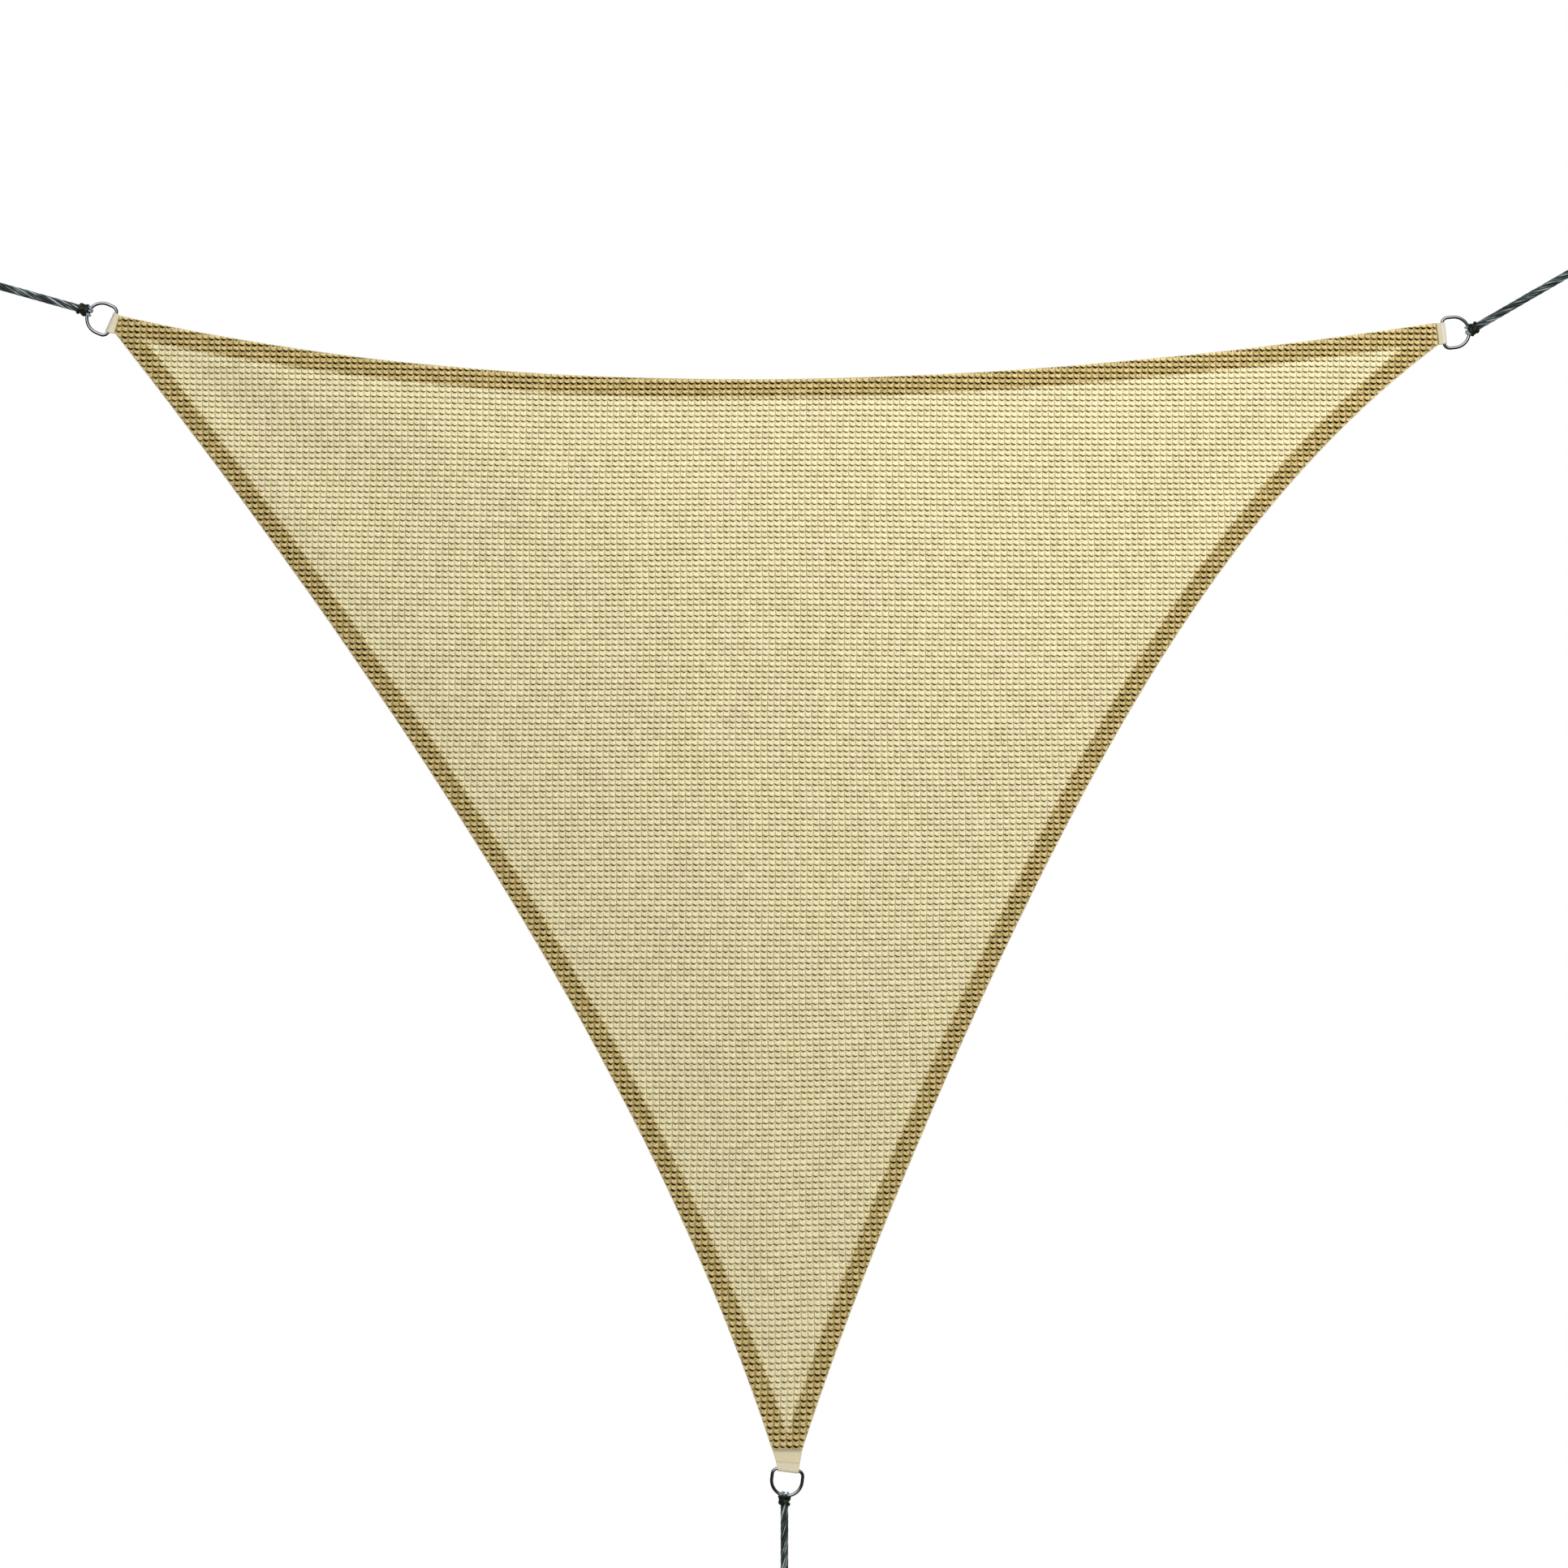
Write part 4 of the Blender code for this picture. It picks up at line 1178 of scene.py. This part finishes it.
def sheet_row(below, down, inset):
    """One row of points: `below` the top edge, or `down` the two other sides."""
    if below is None:
        left, right = side_point(LEFT_SIDE, 1 - down), side_point(RIGHT_SIDE, down)
    else:
        left, right = (end.first.lerp(end.second, below / HEM_WIDTH) for end in (LEFT, RIGHT))
    row = []
    for share in row_shares((right - left).length, down, inset):
        if share in (0.0, 1.0):
            row.append(right if share else left)
        elif below is not None:
            row.append(side_point(TOP_SIDE, share) + inward(TOP_SIDE) * below)
        else:
            fade = hollow(TOP_SIDE, share) * (1 - down) ** 2
            row.append(left.lerp(right, share) + inward(TOP_SIDE) * fade)
    return row


def sheet_rows(inset):
    """All rows from the top to the tip, that far in from the edge."""
    belows = [max(HEM_WIDTH * i / HEM_ROWS, inset) for i in range(HEM_ROWS + 1)]
    rows = [sheet_row(below, 0.0, inset) for below in belows]
    return rows + [sheet_row(None, i / SHEET_ROWS, inset) for i in range(1, SHEET_ROWS + 1)]


def grid_object(name, verts, wide):
    """A mesh object of rows of points, `wide` to a row."""
    starts = [at for at in range(len(verts) - wide) if (at + 1) % wide]
    grid = mesh_object(name, verts, [(at, at + wide, at + wide + 1, at + 1) for at in starts])
    grid.data.shade_smooth()
    return grid


def flat_plan(name, rows):
    """Rows of points laid flat, which know the depth of the cloth."""
    points = [point for row in rows for point in row]
    plan = grid_object(name, [place(point) for point in points], len(rows[0]))
    keep_value(plan, "depth", [cloth_depth(point) for point in points])
    return plan


sail_plan = flat_plan("sail_plan", sheet_rows(0.0))
rows = sheet_rows(SHEET_INSET)
sheet_points = [point for row in rows for point in row]
hung = [place(point, cloth_depth(point)) for point in sheet_points]
sail_sheet = grid_object("sail_sheet", hung, len(rows[0]))
print("the sheet has", len(hung), "points, from", len(rows), "rows")

# %% [markdown]
# The hem is folded to the back all round, so the back shows a second band of knit, 27 mm wide,
# over the hem. Its plan is a strip along each side, kept within the cloth at the corners.

# %% The hem's plan and the outline
SIDE_STEPS, HEM_LANES = 150, 3
side_shares = [i / SIDE_STEPS for i in range(SIDE_STEPS + 1)]


def into_cloth(side, t):
    return -square_to(edge_way(side, t))


def hem_reach(side, t):
    """How wide the folded hem can be there without leaving the cloth."""
    start, within = side_point(side, t), into_cloth(side, t)
    others = [other for other in SIDES if other is not side]
    wide = HEM_WIDTH
    while wide > MM and min(from_side(o, start + within * wide) for o in others) < MM:
        wide -= MM
    return wide


def hem_strip(side):
    strip = []
    for t in side_shares:
        edge, within, wide = side_point(side, t), into_cloth(side, t), hem_reach(side, t)
        strip.append([edge + within * (wide * lane / HEM_LANES) for lane in range(HEM_LANES + 1)])
    return strip


hem_plan = join("hem_plan", [flat_plan("strip", hem_strip(side)) for side in SIDES])
edges = [[side_point(side, t) for t in side_shares] for side in SIDES]
outline_points = [place(point) for edge in edges for point in edge]
lines = [(i, i + 1) for i in range(len(outline_points) - 1) if (i + 1) % len(side_shares)]
outline = mesh_object("outline", outline_points, [], lines)
print("the three sides are", [round(measure(edge), 3) for edge in edges], "m long")

# %% [markdown]
# ## The knit
#
# Shade cloth is knitted from flat tape. Each stitch is a small cream cushion, and under each one
# gapes a dark slit that sags in its middle and closes at both ends, where the stitches hang on
# each other. Bump alone can't hide the light in such slits, and it is lost in a mesh, so every
# stitch is a real patch of 16 faces. Its lower edge stands out like a roof tile's and its upper
# edge is tucked in under the one above.
#
# The pattern patch is drawn once, one wale wide and one course high. It stores how much each row
# of its points gives way for the slit.

# %% One stitch
SMILE = 0.33  # of a course, how far the slit sags in its middle
STITCH_COLUMNS = (
    (-0.5, 0.08, 0.0, 0.42),
    (-0.36, 1.00, 0.40, 0.90),
    (0.0, 1.0, 0.95, 1.0),
    (0.32, 0.60, 0.64, 0.90),
    (0.5, 0.08, 0.0, 0.42),
)
STITCH_ROWS = (
    (0.0, -1.0, 0.30),
    (0.28, -0.30, 0.80),
    (0.55, 0.0, 1.05),
    (0.80, 0.42, 1.20),
    (1.0, 1.0, 0.85),
)
STITCH_HEIGHT = 1.1 * MM


def stitch_patch(name, columns, rows, smile, height):
    """A patch of knit. A column is its place and its shares of the slit, the sag and the
    height, and a row is its place, the way it gives for the slit and its share of the height."""
    verts, gives, rims = [], [], []
    for down, give, stand in rows:
        for across, gape, sag, swell in columns:
            verts.append((across, -stand * swell * height, -(down + smile * sag)))
            gives.append(give * gape)
            rims.append(2 * abs(across))
    patch = grid_object(name, verts, len(columns))
    keep_value(patch, "give", gives)
    keep_value(patch, "rim", rims)
    return patch


stitch = stitch_patch("stitch", STITCH_COLUMNS, STITCH_ROWS, SMILE, STITCH_HEIGHT)
print("one stitch has", 2 * len(stitch.data.polygons), "triangles")

# %% [markdown]
# The tree counts stitches on a grid, wale by wale and course by course, and puts a copy of the
# patch at each. Only then is the whole knit laid on the plan by one rule: courses a little
# farther apart towards the lowest corner, wales a little wider, both with the slow waves of real
# cloth. Points outside the outline are drawn back onto it, so that the stitches end in a clean
# edge. Last, each point takes the depth that is stored in the plan, and stands off the sheet by
# its own height.

# %% Where courses and wales lie
COURSE_POWER, COURSES_DOWN = 2.6, 200.0
UPPER_FALL, UPPER_FALL_FROM, UPPER_COURSES = 0.020, 0.35, 80.0
LOWER_RISE, LOWER_FROM, LOWER_EASE = 0.014, 60.0, 90.0
WALE_WAVE, WALE_SWAY = 1.6 * MM, (17.0, 3.0)  # radians for each metre down and across
COURSE_WAVE, COURSE_SWELL = 0.9 * MM, (4.0, 9.0)


def slow_wave(down, across, rates):
    return (down * rates[0] + across * rates[1]).math("SINE")


def lay_out(given, wale, course):
    """Where a point counted in wales and courses lies in the plan: across and up."""
    late = (course - given("Even courses")).math("MAXIMUM", 0.0)
    down = course * given("Course pitch") + late**COURSE_POWER * given("Course growth")
    share = course / COURSES_DOWN
    across = wale * (share * share * given("Wale growth") + given("Wale pitch"))
    falling = (across + UPPER_FALL_FROM).math("MINIMUM", 0.0) * UPPER_FALL
    falling = falling * (1.0 - (course / UPPER_COURSES).clamped())
    rising = across * LOWER_RISE * ((course - LOWER_FROM) / LOWER_EASE).eased()
    swell = slow_wave(down, across, COURSE_SWELL) * COURSE_WAVE
    sway = slow_wave(down, across, WALE_SWAY) * WALE_WAVE
    return given("Middle") + across + sway, given("Top") - down - falling + rising + swell


# %% A tree for the knit
KNIT_INPUTS = {
    "Int": "Courses, Wales, Seed",
    "Float": "First course, Top, Middle, Course pitch, Course growth, Even courses, Wale pitch, "
    "Wale growth, Slit, Hem width, Hem slit, Hem lift, Lift, Side",
    "Object": "Stitch, Plan, Outline",
    "Material": "Finish",
}
SLIT_LEAST, SLIT_SPREAD, SLIT_SKEW = 0.7, 0.6, 2.4  # each stitch's own share of the slit
EDGE_LIFT, EDGE_EASE, HEM_BLEND = 0.35 * MM, 2.2 * MM, 8.0 * MM
EDGE_ROW, EDGE_PALE = 5.5 * MM, 0.6  # how far in the fold's paler row reaches, and how pale
STRAY, OFF_PLAN, WELD = 9.0 * MM, 0.02 * MM, 0.05 * MM


def shape_of(tree, target, as_instance=False):
    """The form of an object that a tree is given."""
    inputs = {0: target, "As Instance": as_instance}
    return geo(tree, "ObjectInfo", inputs, "Geometry", transform_space="ORIGINAL")


def nearest(tree, target, where, element):
    """The nearest place on an object's faces or edges, and how far it is."""
    inputs = {0: shape_of(tree, target), "Sample Position": where}
    return geo(tree, "Proximity", inputs, ("Position", "Distance"), target_element=element)


def knit_tree():
    tree, given = new_tree("knit", **KNIT_INPUTS)
    wales, courses = given("Wales"), given("Courses")
    grid = geo(tree, "MeshGrid", {0: wales - 1.0, 1: courses - 1.0, 2: wales, 3: courses})
    x, y, z = split(tree, geo(tree, "InputPosition"))
    first = given("First course") + (courses - 1.0) * 0.5 - y
    counted = geo(tree, "SetPosition", {0: grid, "Position": vector(tree, x, 0.0, -first)})

    # Leave out what lies more than a stitch outside the cloth.
    across, up = lay_out(given, x, 0.5 - z)
    _, away = nearest(tree, given("Plan"), vector(tree, across, 0.0, up), "FACES")
    outside = away.math("GREATER_THAN", STRAY)
    kept = geo(tree, "DeleteGeometry", {0: counted, 1: outside}, domain="POINT")

    inputs = {"Points": kept, "Instance": shape_of(tree, given("Stitch"), True)}
    copies = geo(tree, "InstanceOnPoints", inputs)
    inputs = {"Seed": given("Seed")}
    chance = field(tree, "FunctionNodeRandomValue", inputs, data_type="FLOAT_VECTOR")
    marked = store(tree, copies, "chance", chance, "FLOAT_VECTOR", "INSTANCE")
    knit = geo(tree, "RealizeInstances", {0: marked})

    # Lay every point on the plan, and open the slits, wider in the hem.
    wale, relief, course = x, -y, -z
    across, up = lay_out(given, wale, course)
    _, edge = nearest(tree, given("Outline"), vector(tree, across, 0.0, up), "EDGES")
    hem = 1.0 - ((edge - given("Hem width")) / HEM_BLEND + 0.5).eased()
    hem = hem * (1.0 - (1.0 - (edge / EDGE_ROW).eased()) * EDGE_PALE)
    more, skew, _ = split(tree, named(tree, "chance", "FLOAT_VECTOR"))
    skewed = (skew - 0.5) * (wale - wale.math("ROUND")) * SLIT_SKEW
    gape = given("Slit") * (more * SLIT_SPREAD + SLIT_LEAST) * (1.0 + skewed)
    gape = gape * (1.0 + hem * given("Hem slit"))
    laid = vector(tree, across, 0.0, up + named(tree, "give") * gape)
    on_plan, away = nearest(tree, given("Plan"), laid, "FACES")
    knit = store(tree, knit, "laid", on_plan, "FLOAT_VECTOR")
    knit = store(tree, knit, "outside", away.math("GREATER_THAN", OFF_PLAN), "BOOLEAN")
    knit = store(tree, knit, "hem", hem)
    knit = store(tree, knit, "relief", relief)

    # Hang it in the depth of the cloth, and leave out what lay outside.
    laid = named(tree, "laid", "FLOAT_VECTOR")
    _, edge = nearest(tree, given("Outline"), laid, "EDGES")
    plan = shape_of(tree, given("Plan"))
    inputs = {0: plan, 1: named(tree, "depth"), "Sample Position": laid}
    depth = geo(tree, "SampleNearestSurface", inputs, data_type="FLOAT")
    stand = given("Lift") + named(tree, "relief") + named(tree, "hem") * given("Hem lift")
    stand = stand * (edge / EDGE_EASE).eased() + EDGE_LIFT
    across, _, up = split(tree, laid)
    hung = vector(tree, across, depth + stand * given("Side"), up)
    placed = geo(tree, "SetPosition", {0: knit, "Position": hung})
    inputs = {0: placed, 1: named(tree, "outside", "BOOLEAN")}
    trimmed = geo(tree, "DeleteGeometry", inputs, domain="FACE")
    merged = geo(tree, "MergeByDistance", {0: trimmed, "Distance": WELD})
    backwards = given("Side").math("GREATER_THAN", 0.0)
    close_tree(tree, geo(tree, "FlipFaces", {0: merged, 1: backwards}), given("Finish"))
    return tree


knit = knit_tree()
print(knit.name, "has", len(knit.nodes), "nodes")

# %% [markdown]
# The tape is a warm cream, a little pinker in some stitches, and matt. Darker lines run down both
# sides of each wale: painted shade in the valleys where the stitches meet. The tape is painted
# darker at the edges of each slit too, as painted shade. In the hem two layers lie on each other,
# so less light comes through, and that is painted as a browner tone.

# %% Knit finish
# CREAM_SHADE darkens stitches at random and, down the sides of each wale, as painted shade. The hem's brown is painted
# for the light that two layers hold back, and the slit brown is painted shade at the edges of each slit.
CREAM, CREAM_PINK, CREAM_SHADE = (0.90, 0.825, 0.525), (0.90, 0.785, 0.545), (0.30, 0.225, 0.07)
HEM_SHADE_BROWN, SLIT_SHADOW_BROWN = (0.83, 0.645, 0.335), (0.125, 0.083, 0.010)
DEEP_SHADE_OLIVE, DEEP_SHADE_BLACK = (0.13, 0.095, 0.014), (0.012, 0.008, 0.001)
TAPE_STRETCH = (1.0, 1.0, 0.18)  # its fibres run up and down
PINK_SHARP, PINK_FROM, PINK_CHANCE = 2.2, 0.55, 1.5
FIBRE_SHADE, STITCH_SHADE, HEM_STITCH_SHADE, LINE_CHANCE = 1.2, 0.10, 0.16, 0.55
PATCH_FROM, PATCH_SHARP, SLIT_SHARP = 0.40, 2.4, 1.7
# Each of these is a number for the field, and one that the hem adds.
LINE_FROM, LINE_SHARP, LINE_SHADE = (0.76, -0.20), (4.2, -1.9), (0.28, 0.34)
PATCH_SHADE, SLIT_FROM, SLIT_SHADE = (0.50, 0.60), (0.40, -0.08), (0.72, 0.22)


def knit_finish():
    material, tree = new_finish("cream_knit", roughness=0.82, shine=0.05)
    chance = field(tree, "ShaderNodeAttribute", output="Vector", attribute_name="chance")
    tint, lined, pinkish = split(tree, chance)
    hem, rim, give = stored(tree, "hem", "rim", "give")
    where = field(tree, "ShaderNodeTexCoord", output="Object")
    stretched = field(tree, "ShaderNodeMapping", {0: where, "Scale": TAPE_STRETCH})
    tape = noise(tree, scale=2600.0, where=stretched)
    mottled = noise(tree, scale=560.0, where=where)
    cloudy = noise(tree, scale=7.0, detail=3.0, where=where)

    def here(pair):
        return hem * pair[1] + pair[0]

    pinker = (cloudy - 0.5) * PINK_SHARP + (pinkish - PINK_FROM) * PINK_CHANCE
    cream = mix(tree, pinker.clamped(), CREAM, CREAM_PINK)
    # Painted shade down both sides of each wale, in the valley where the stitches meet.
    side = ((rim - here(LINE_FROM)) * here(LINE_SHARP)).clamped()
    lines = side * (lined * LINE_CHANCE + here(LINE_SHADE))
    patchy = ((mottled - PATCH_FROM) * PATCH_SHARP).clamped() * here(PATCH_SHADE)
    fibres = abs(tape - 0.5) * FIBRE_SHADE + patchy
    dull = lines + fibres + tint * STITCH_SHADE + hem * lined * HEM_STITCH_SHADE
    # The hem is painted browner for the light that its two layers hold back.
    colour = mix(tree, dull.clamped(), mix(tree, hem, cream, HEM_SHADE_BROWN), CREAM_SHADE)
    # Painted shade on the tape along the edges of each slit.
    slit_shadow = ((abs(give) - here(SLIT_FROM)) * SLIT_SHARP).clamped() * here(SLIT_SHADE)
    paint(tree, mix(tree, slit_shadow, colour, SLIT_SHADOW_BROWN), tape, deep=0.25 * MM)
    return material


# The sheet behind the stitches is painted shade: dark olive in the field, near black in the hem.
def deep_shade_finish():
    material, tree = new_finish("knit_inside", roughness=0.95, shine=0.0)
    colour = mix(tree, stored(tree, "hem")[0], DEEP_SHADE_OLIVE, DEEP_SHADE_BLACK)
    tint = mix(tree, noise(tree, scale=900.0) * 0.5, colour, DEEP_SHADE_BLACK)
    paint(tree, tint, noise(tree, scale=1400.0), deep=0.2 * MM)
    return material


cream_knit, knit_inside = knit_finish(), deep_shade_finish()
print("the knit's finishes are", cream_knit.name, "and", knit_inside.name)

# %% [markdown]
# The front of the sail is knitted in bands of courses, so that no piece grows too large.

# %% Knit the front
BANDS = ((0, 34), (34, 38), (72, 48), (120, 76))  # first course, and how many
KNIT_SIZES = {
    "Wales": 231,
    "Top": place((0.0, -0.8 * MM))[2],
    "Middle": place((0.0, 0.0))[0],
    "Course pitch": 6.85 * PICTURE_PIXEL,
    "Course growth": 1.852e-4 * PICTURE_PIXEL,
    "Even courses": 60.0,
    "Wale pitch": 7.65 * PICTURE_PIXEL,
    "Wale growth": 0.54 * PICTURE_PIXEL,
    "Slit": 0.70 * MM,
    "Hem width": HEM_WIDTH + 2.0 * MM,
    "Hem slit": 0.65,
    "Hem lift": 0.9 * MM,
    "Lift": 0.1 * MM,
    "Side": -1.0,  # towards the front
    "Stitch": stitch,
    "Plan": sail_plan,
    "Outline": outline,
    "Finish": cream_knit,
}


def knit_piece(name, first, courses, seed, changes):
    base = new_object("base", bpy.data.meshes.new("base"))
    sizes = KNIT_SIZES | {"First course": float(first), "Courses": courses, "Seed": seed}
    piece = apply_tree(name, base, knit, sizes | changes)
    for spare in ("laid", "outside", "relief"):
        if spare in piece.data.attributes:
            piece.data.attributes.remove(piece.data.attributes[spare])
    return piece


knit_pieces = [
    knit_piece(f"knit_front_{number}", *band, number, {}) for number, band in enumerate(BANDS, 1)
]

# %% [markdown]
# The back shows the floats of the tape: plain slanting bars, one to a stitch. They lie flatter
# than the front's stitches, so a patch of 8 triangles is enough for each. Over the hem lies the
# folded band, which turns the front's stitches outwards.

# %% Knit the back
FLOAT_COLUMNS = ((-0.5, 0.0, 0.0, 0.6), (0.0, 1.0, 1.0, 1.0), (0.5, 0.0, 0.0, 0.6))
FLOAT_ROWS = ((0.0, -1.0, 0.35), (0.5, 0.0, 1.0), (1.0, 1.0, 0.6))
FLOAT_SMILE, FLOAT_HEIGHT = 0.12, 0.75 * MM
BACK_SEED, HEM_SEED = 11, 12

back_float = stitch_patch("float", FLOAT_COLUMNS, FLOAT_ROWS, FLOAT_SMILE, FLOAT_HEIGHT)
all_courses = sum(courses for _, courses in BANDS)
behind = {"Side": 1.0, "Hem lift": 0.0}
floats = behind | {"Stitch": back_float, "Slit": 0.8 * MM}
folded = behind | {"Plan": hem_plan, "Lift": 0.9 * MM}
knit_pieces.append(knit_piece("knit_back", 0, all_courses, BACK_SEED, floats))
knit_pieces.append(knit_piece("hem_back", 0, all_courses, HEM_SEED, folded))

# %% [markdown]
# At the edge the cloth is folded round to the back. There the tape of each wale shows as a light
# loop over the fold, a little longer or shorter than the next one. A wire is bent along each
# side as the fold, and another as the hem's turned-in edge on the back. A tree sets the loops on
# a line at even steps, turned square to it. The same tree lays the seam that holds the hem down
# on the back: short stitches in a row, 22 mm in.

# %% The folded edge and the seam
FOLD_RADIUS, FOLD_IN, FOLD_RESOLUTION = 0.55 * MM, 0.6 * MM, 1
TURNED_RADIUS, TURNED_IN, TURNED_BEHIND = 0.8 * MM, HEM_WIDTH - 0.8 * MM, 1.7 * MM
LOOP_SIZES = (3.8 * MM, 2.2 * MM, 4.2 * MM)  # along the edge, deep and across it
LOOP_STEP, LOOP_IN, LOOP_LEAST = 4.75 * MM, 0.9 * MM, 0.5
SEAM_STEP, SEAM_LONG, SEAM_RADIUS, SEAM_LEAST = 4.0 * MM, 3.1 * MM, 0.5 * MM, 0.85
SEAM_IN, SEAM_BEHIND = 22.0 * MM, 3.0 * MM
FOLD_CREAM, LOOP_CREAM, SEAM_CREAM = (0.50, 0.39, 0.19), (0.82, 0.73, 0.48), (0.82, 0.76, 0.58)
YARN_DARKER, YARN_WORN = 0.6, 0.7


def row_tree():
    tree, given = new_tree(
        "row_along_a_line", Float="Step, Least", Int="Seed", Object="Pattern", Material="Finish"
    )
    inputs = {0: given("Geometry"), "Length": given("Step")}
    dots, tangent = geo(tree, "CurveToPoints", inputs, ("Points", "Tangent"), mode="LENGTH")
    inputs = {"Primary Axis": tangent, "Secondary Axis": (0.0, 1.0, 0.0)}
    axes = {"primary_axis": "X", "secondary_axis": "Y"}
    turn = field(tree, "FunctionNodeAxesToRotation", inputs, **axes)
    inputs = {2: given("Least"), 3: 1.0, "Seed": given("Seed")}
    size = field(tree, "FunctionNodeRandomValue", inputs, 1, data_type="FLOAT")
    inputs = {"Points": dots, "Instance": shape_of(tree, given("Pattern"))}
    inputs |= {"Rotation": turn, "Scale": vector(tree, size, size, size)}
    close_tree(tree, geo(tree, "InstanceOnPoints", inputs), given("Finish"))
    return tree


row_along = row_tree()


def lay_row(name, line, step, pattern, least, seed, finish):
    """Copies of a pattern along a line, each of its own size down to `least`."""
    sizes = {"Step": step, "Pattern": pattern, "Least": least, "Seed": seed, "Finish": finish}
    return apply_tree(name, line_curve(line), row_along, sizes)


def yarn_finish(name, colour, roughness):
    material, tree = new_finish(name, roughness, shine=0.25)
    darker = tuple(part * YARN_DARKER for part in colour)
    darkened = mix(tree, noise(tree, scale=700.0) * YARN_WORN, colour, darker)
    paint(tree, darkened, noise(tree, scale=1500.0), deep=0.15 * MM)
    return material


def edge_line(side, within, behind=0.0):
    """A line along a side, so far within the edge and so far behind the cloth."""
    line = []
    for t in side_shares:
        point = side_point(side, t) + into_cloth(side, t) * min(within, hem_reach(side, t))
        line.append(place(point, cloth_depth(point) + behind))
    return line


# %% Fold and sew the edge
loop = ball("loop", LOOP_SIZES, segments=5, rings=4)
thread_sizes = (SEAM_LONG, 2 * SEAM_RADIUS, 2 * SEAM_RADIUS)
thread = ball("thread", thread_sizes, segments=4, rings=3)
edge_cream = yarn_finish("edge_cream", FOLD_CREAM, roughness=0.8)
loop_cream = yarn_finish("loop_cream", LOOP_CREAM, roughness=0.75)
seam_cream = yarn_finish("seam_cream", SEAM_CREAM, roughness=0.6)
edge_parts, seam_parts = [], []
for number, side in enumerate(SIDES):
    fold, turned_in = edge_line(side, FOLD_IN), edge_line(side, TURNED_IN, TURNED_BEHIND)
    on_edge, on_seam = edge_line(side, LOOP_IN), edge_line(side, SEAM_IN, SEAM_BEHIND)
    edge_parts += [
        bend_wire("fold", fold, FOLD_RADIUS, FOLD_RESOLUTION, edge_cream),
        bend_wire("turned_in", turned_in, TURNED_RADIUS, FOLD_RESOLUTION, edge_cream),
        lay_row("loops", on_edge, LOOP_STEP, loop, LOOP_LEAST, number, loop_cream),
    ]
    seam = lay_row("seam", on_seam, SEAM_STEP, thread, SEAM_LEAST, number, seam_cream)
    seam_parts.append(seam)
knit_pieces += [join("folded_edge", edge_parts), join("hem_seam", seam_parts)]

# %% [markdown]
# The strap is sewn to the cloth with a box of stitches crossed from corner to corner, the usual
# way to let webbing carry a pull. It shows on the strap's back.

# %% The box stitch of each strap
BOX_CORNERS = ((0, -1), (1, -1), (1, 1), (0, 1), (0, -1), (1, 1), (0, 1), (1, -1))
BOX_REACH, BOX_IN, BOX_STEP = (6.0 * MM, 42.0 * MM), 3.5 * MM, 2.8 * MM
BOX_DEPTH = STRAP_ROLL + (STRAP_THICK + SEAM_RADIUS) / 2


def box_line(corner):
    """The sewing line of a strap: round the box, with both diagonals."""
    cloth_end = (corner_middle(corner) - corner.bar).length
    line = []
    for far, side in BOX_CORNERS:
        middle, across, wide = strap_line(corner, cloth_end + BOX_REACH[far])
        line.append(place(middle + across * side * (wide / 2 - BOX_IN), BOX_DEPTH))
    return line


for number, corner in enumerate(CORNERS):
    name, line = f"box_seam_{corner.name}", box_line(corner)
    seam = lay_row(name, line, BOX_STEP, thread, SEAM_LEAST, number, seam_cream)
    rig.ride(seam, "root")
    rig.slot(seam, "webbing")

# %% [markdown]
# The sheet gets its thickness from a live Solidify modifier, and each of its points a mark that
# tells hem from field. It and all of the knit are the cloth. The plans and patterns have done
# their work.

# %% Dress the sheet
HEM_MARGIN = 0.5 * MM
sheet_walls = sail_sheet.modifiers.new("thickness", "SOLIDIFY")
sheet_walls.thickness, sheet_walls.offset = SHEET_THICK, 0.0
in_hem = [float(from_edge(point) < HEM_WIDTH + HEM_MARGIN) for point in sheet_points]
keep_value(sail_sheet, "hem", in_hem)
# The sheet's dark finish is painted shade for the slits.
sail_sheet.data.materials.append(knit_inside)
for guide in (sail_plan, hem_plan, outline, stitch, back_float, loop, thread):
    bpy.data.objects.remove(guide)
for piece in (sail_sheet, *knit_pieces):
    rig.ride(piece, "root")
    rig.slot(piece, "shade_cloth")
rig.replaces(sail_sheet, "sail_cloth")
print(len(knit_pieces), "pieces dress the sheet, and", round(sum(in_hem)), "points are its hem")

# %% [markdown]
# ## Write the sizes and finish
#
# The cloth is measured flat, as it would be cut, and the whole sail as it hangs.

# %% Finish
CLOTH_FLAT, CLOTH_AREA = (2.03, 1.74), 1.44
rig.sheet(
    sail_sheet,
    flat=CLOTH_FLAT,
    held="stretched",
    area=CLOTH_AREA,
    rests_on=[f"corner_strap_{corner.name}" for corner in CORNERS],
    with_pieces=knit_pieces,
)
new_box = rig.bounds()
with open("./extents.json", "w") as file:
    json.dump(
        {
            "cad": [list(corner) for corner in cad_box],
            "visual": [list(corner) for corner in new_box],
        },
        file,
    )
print("the dressed sail measures", [round(b - a, 4) for a, b in zip(*new_box)], "m")
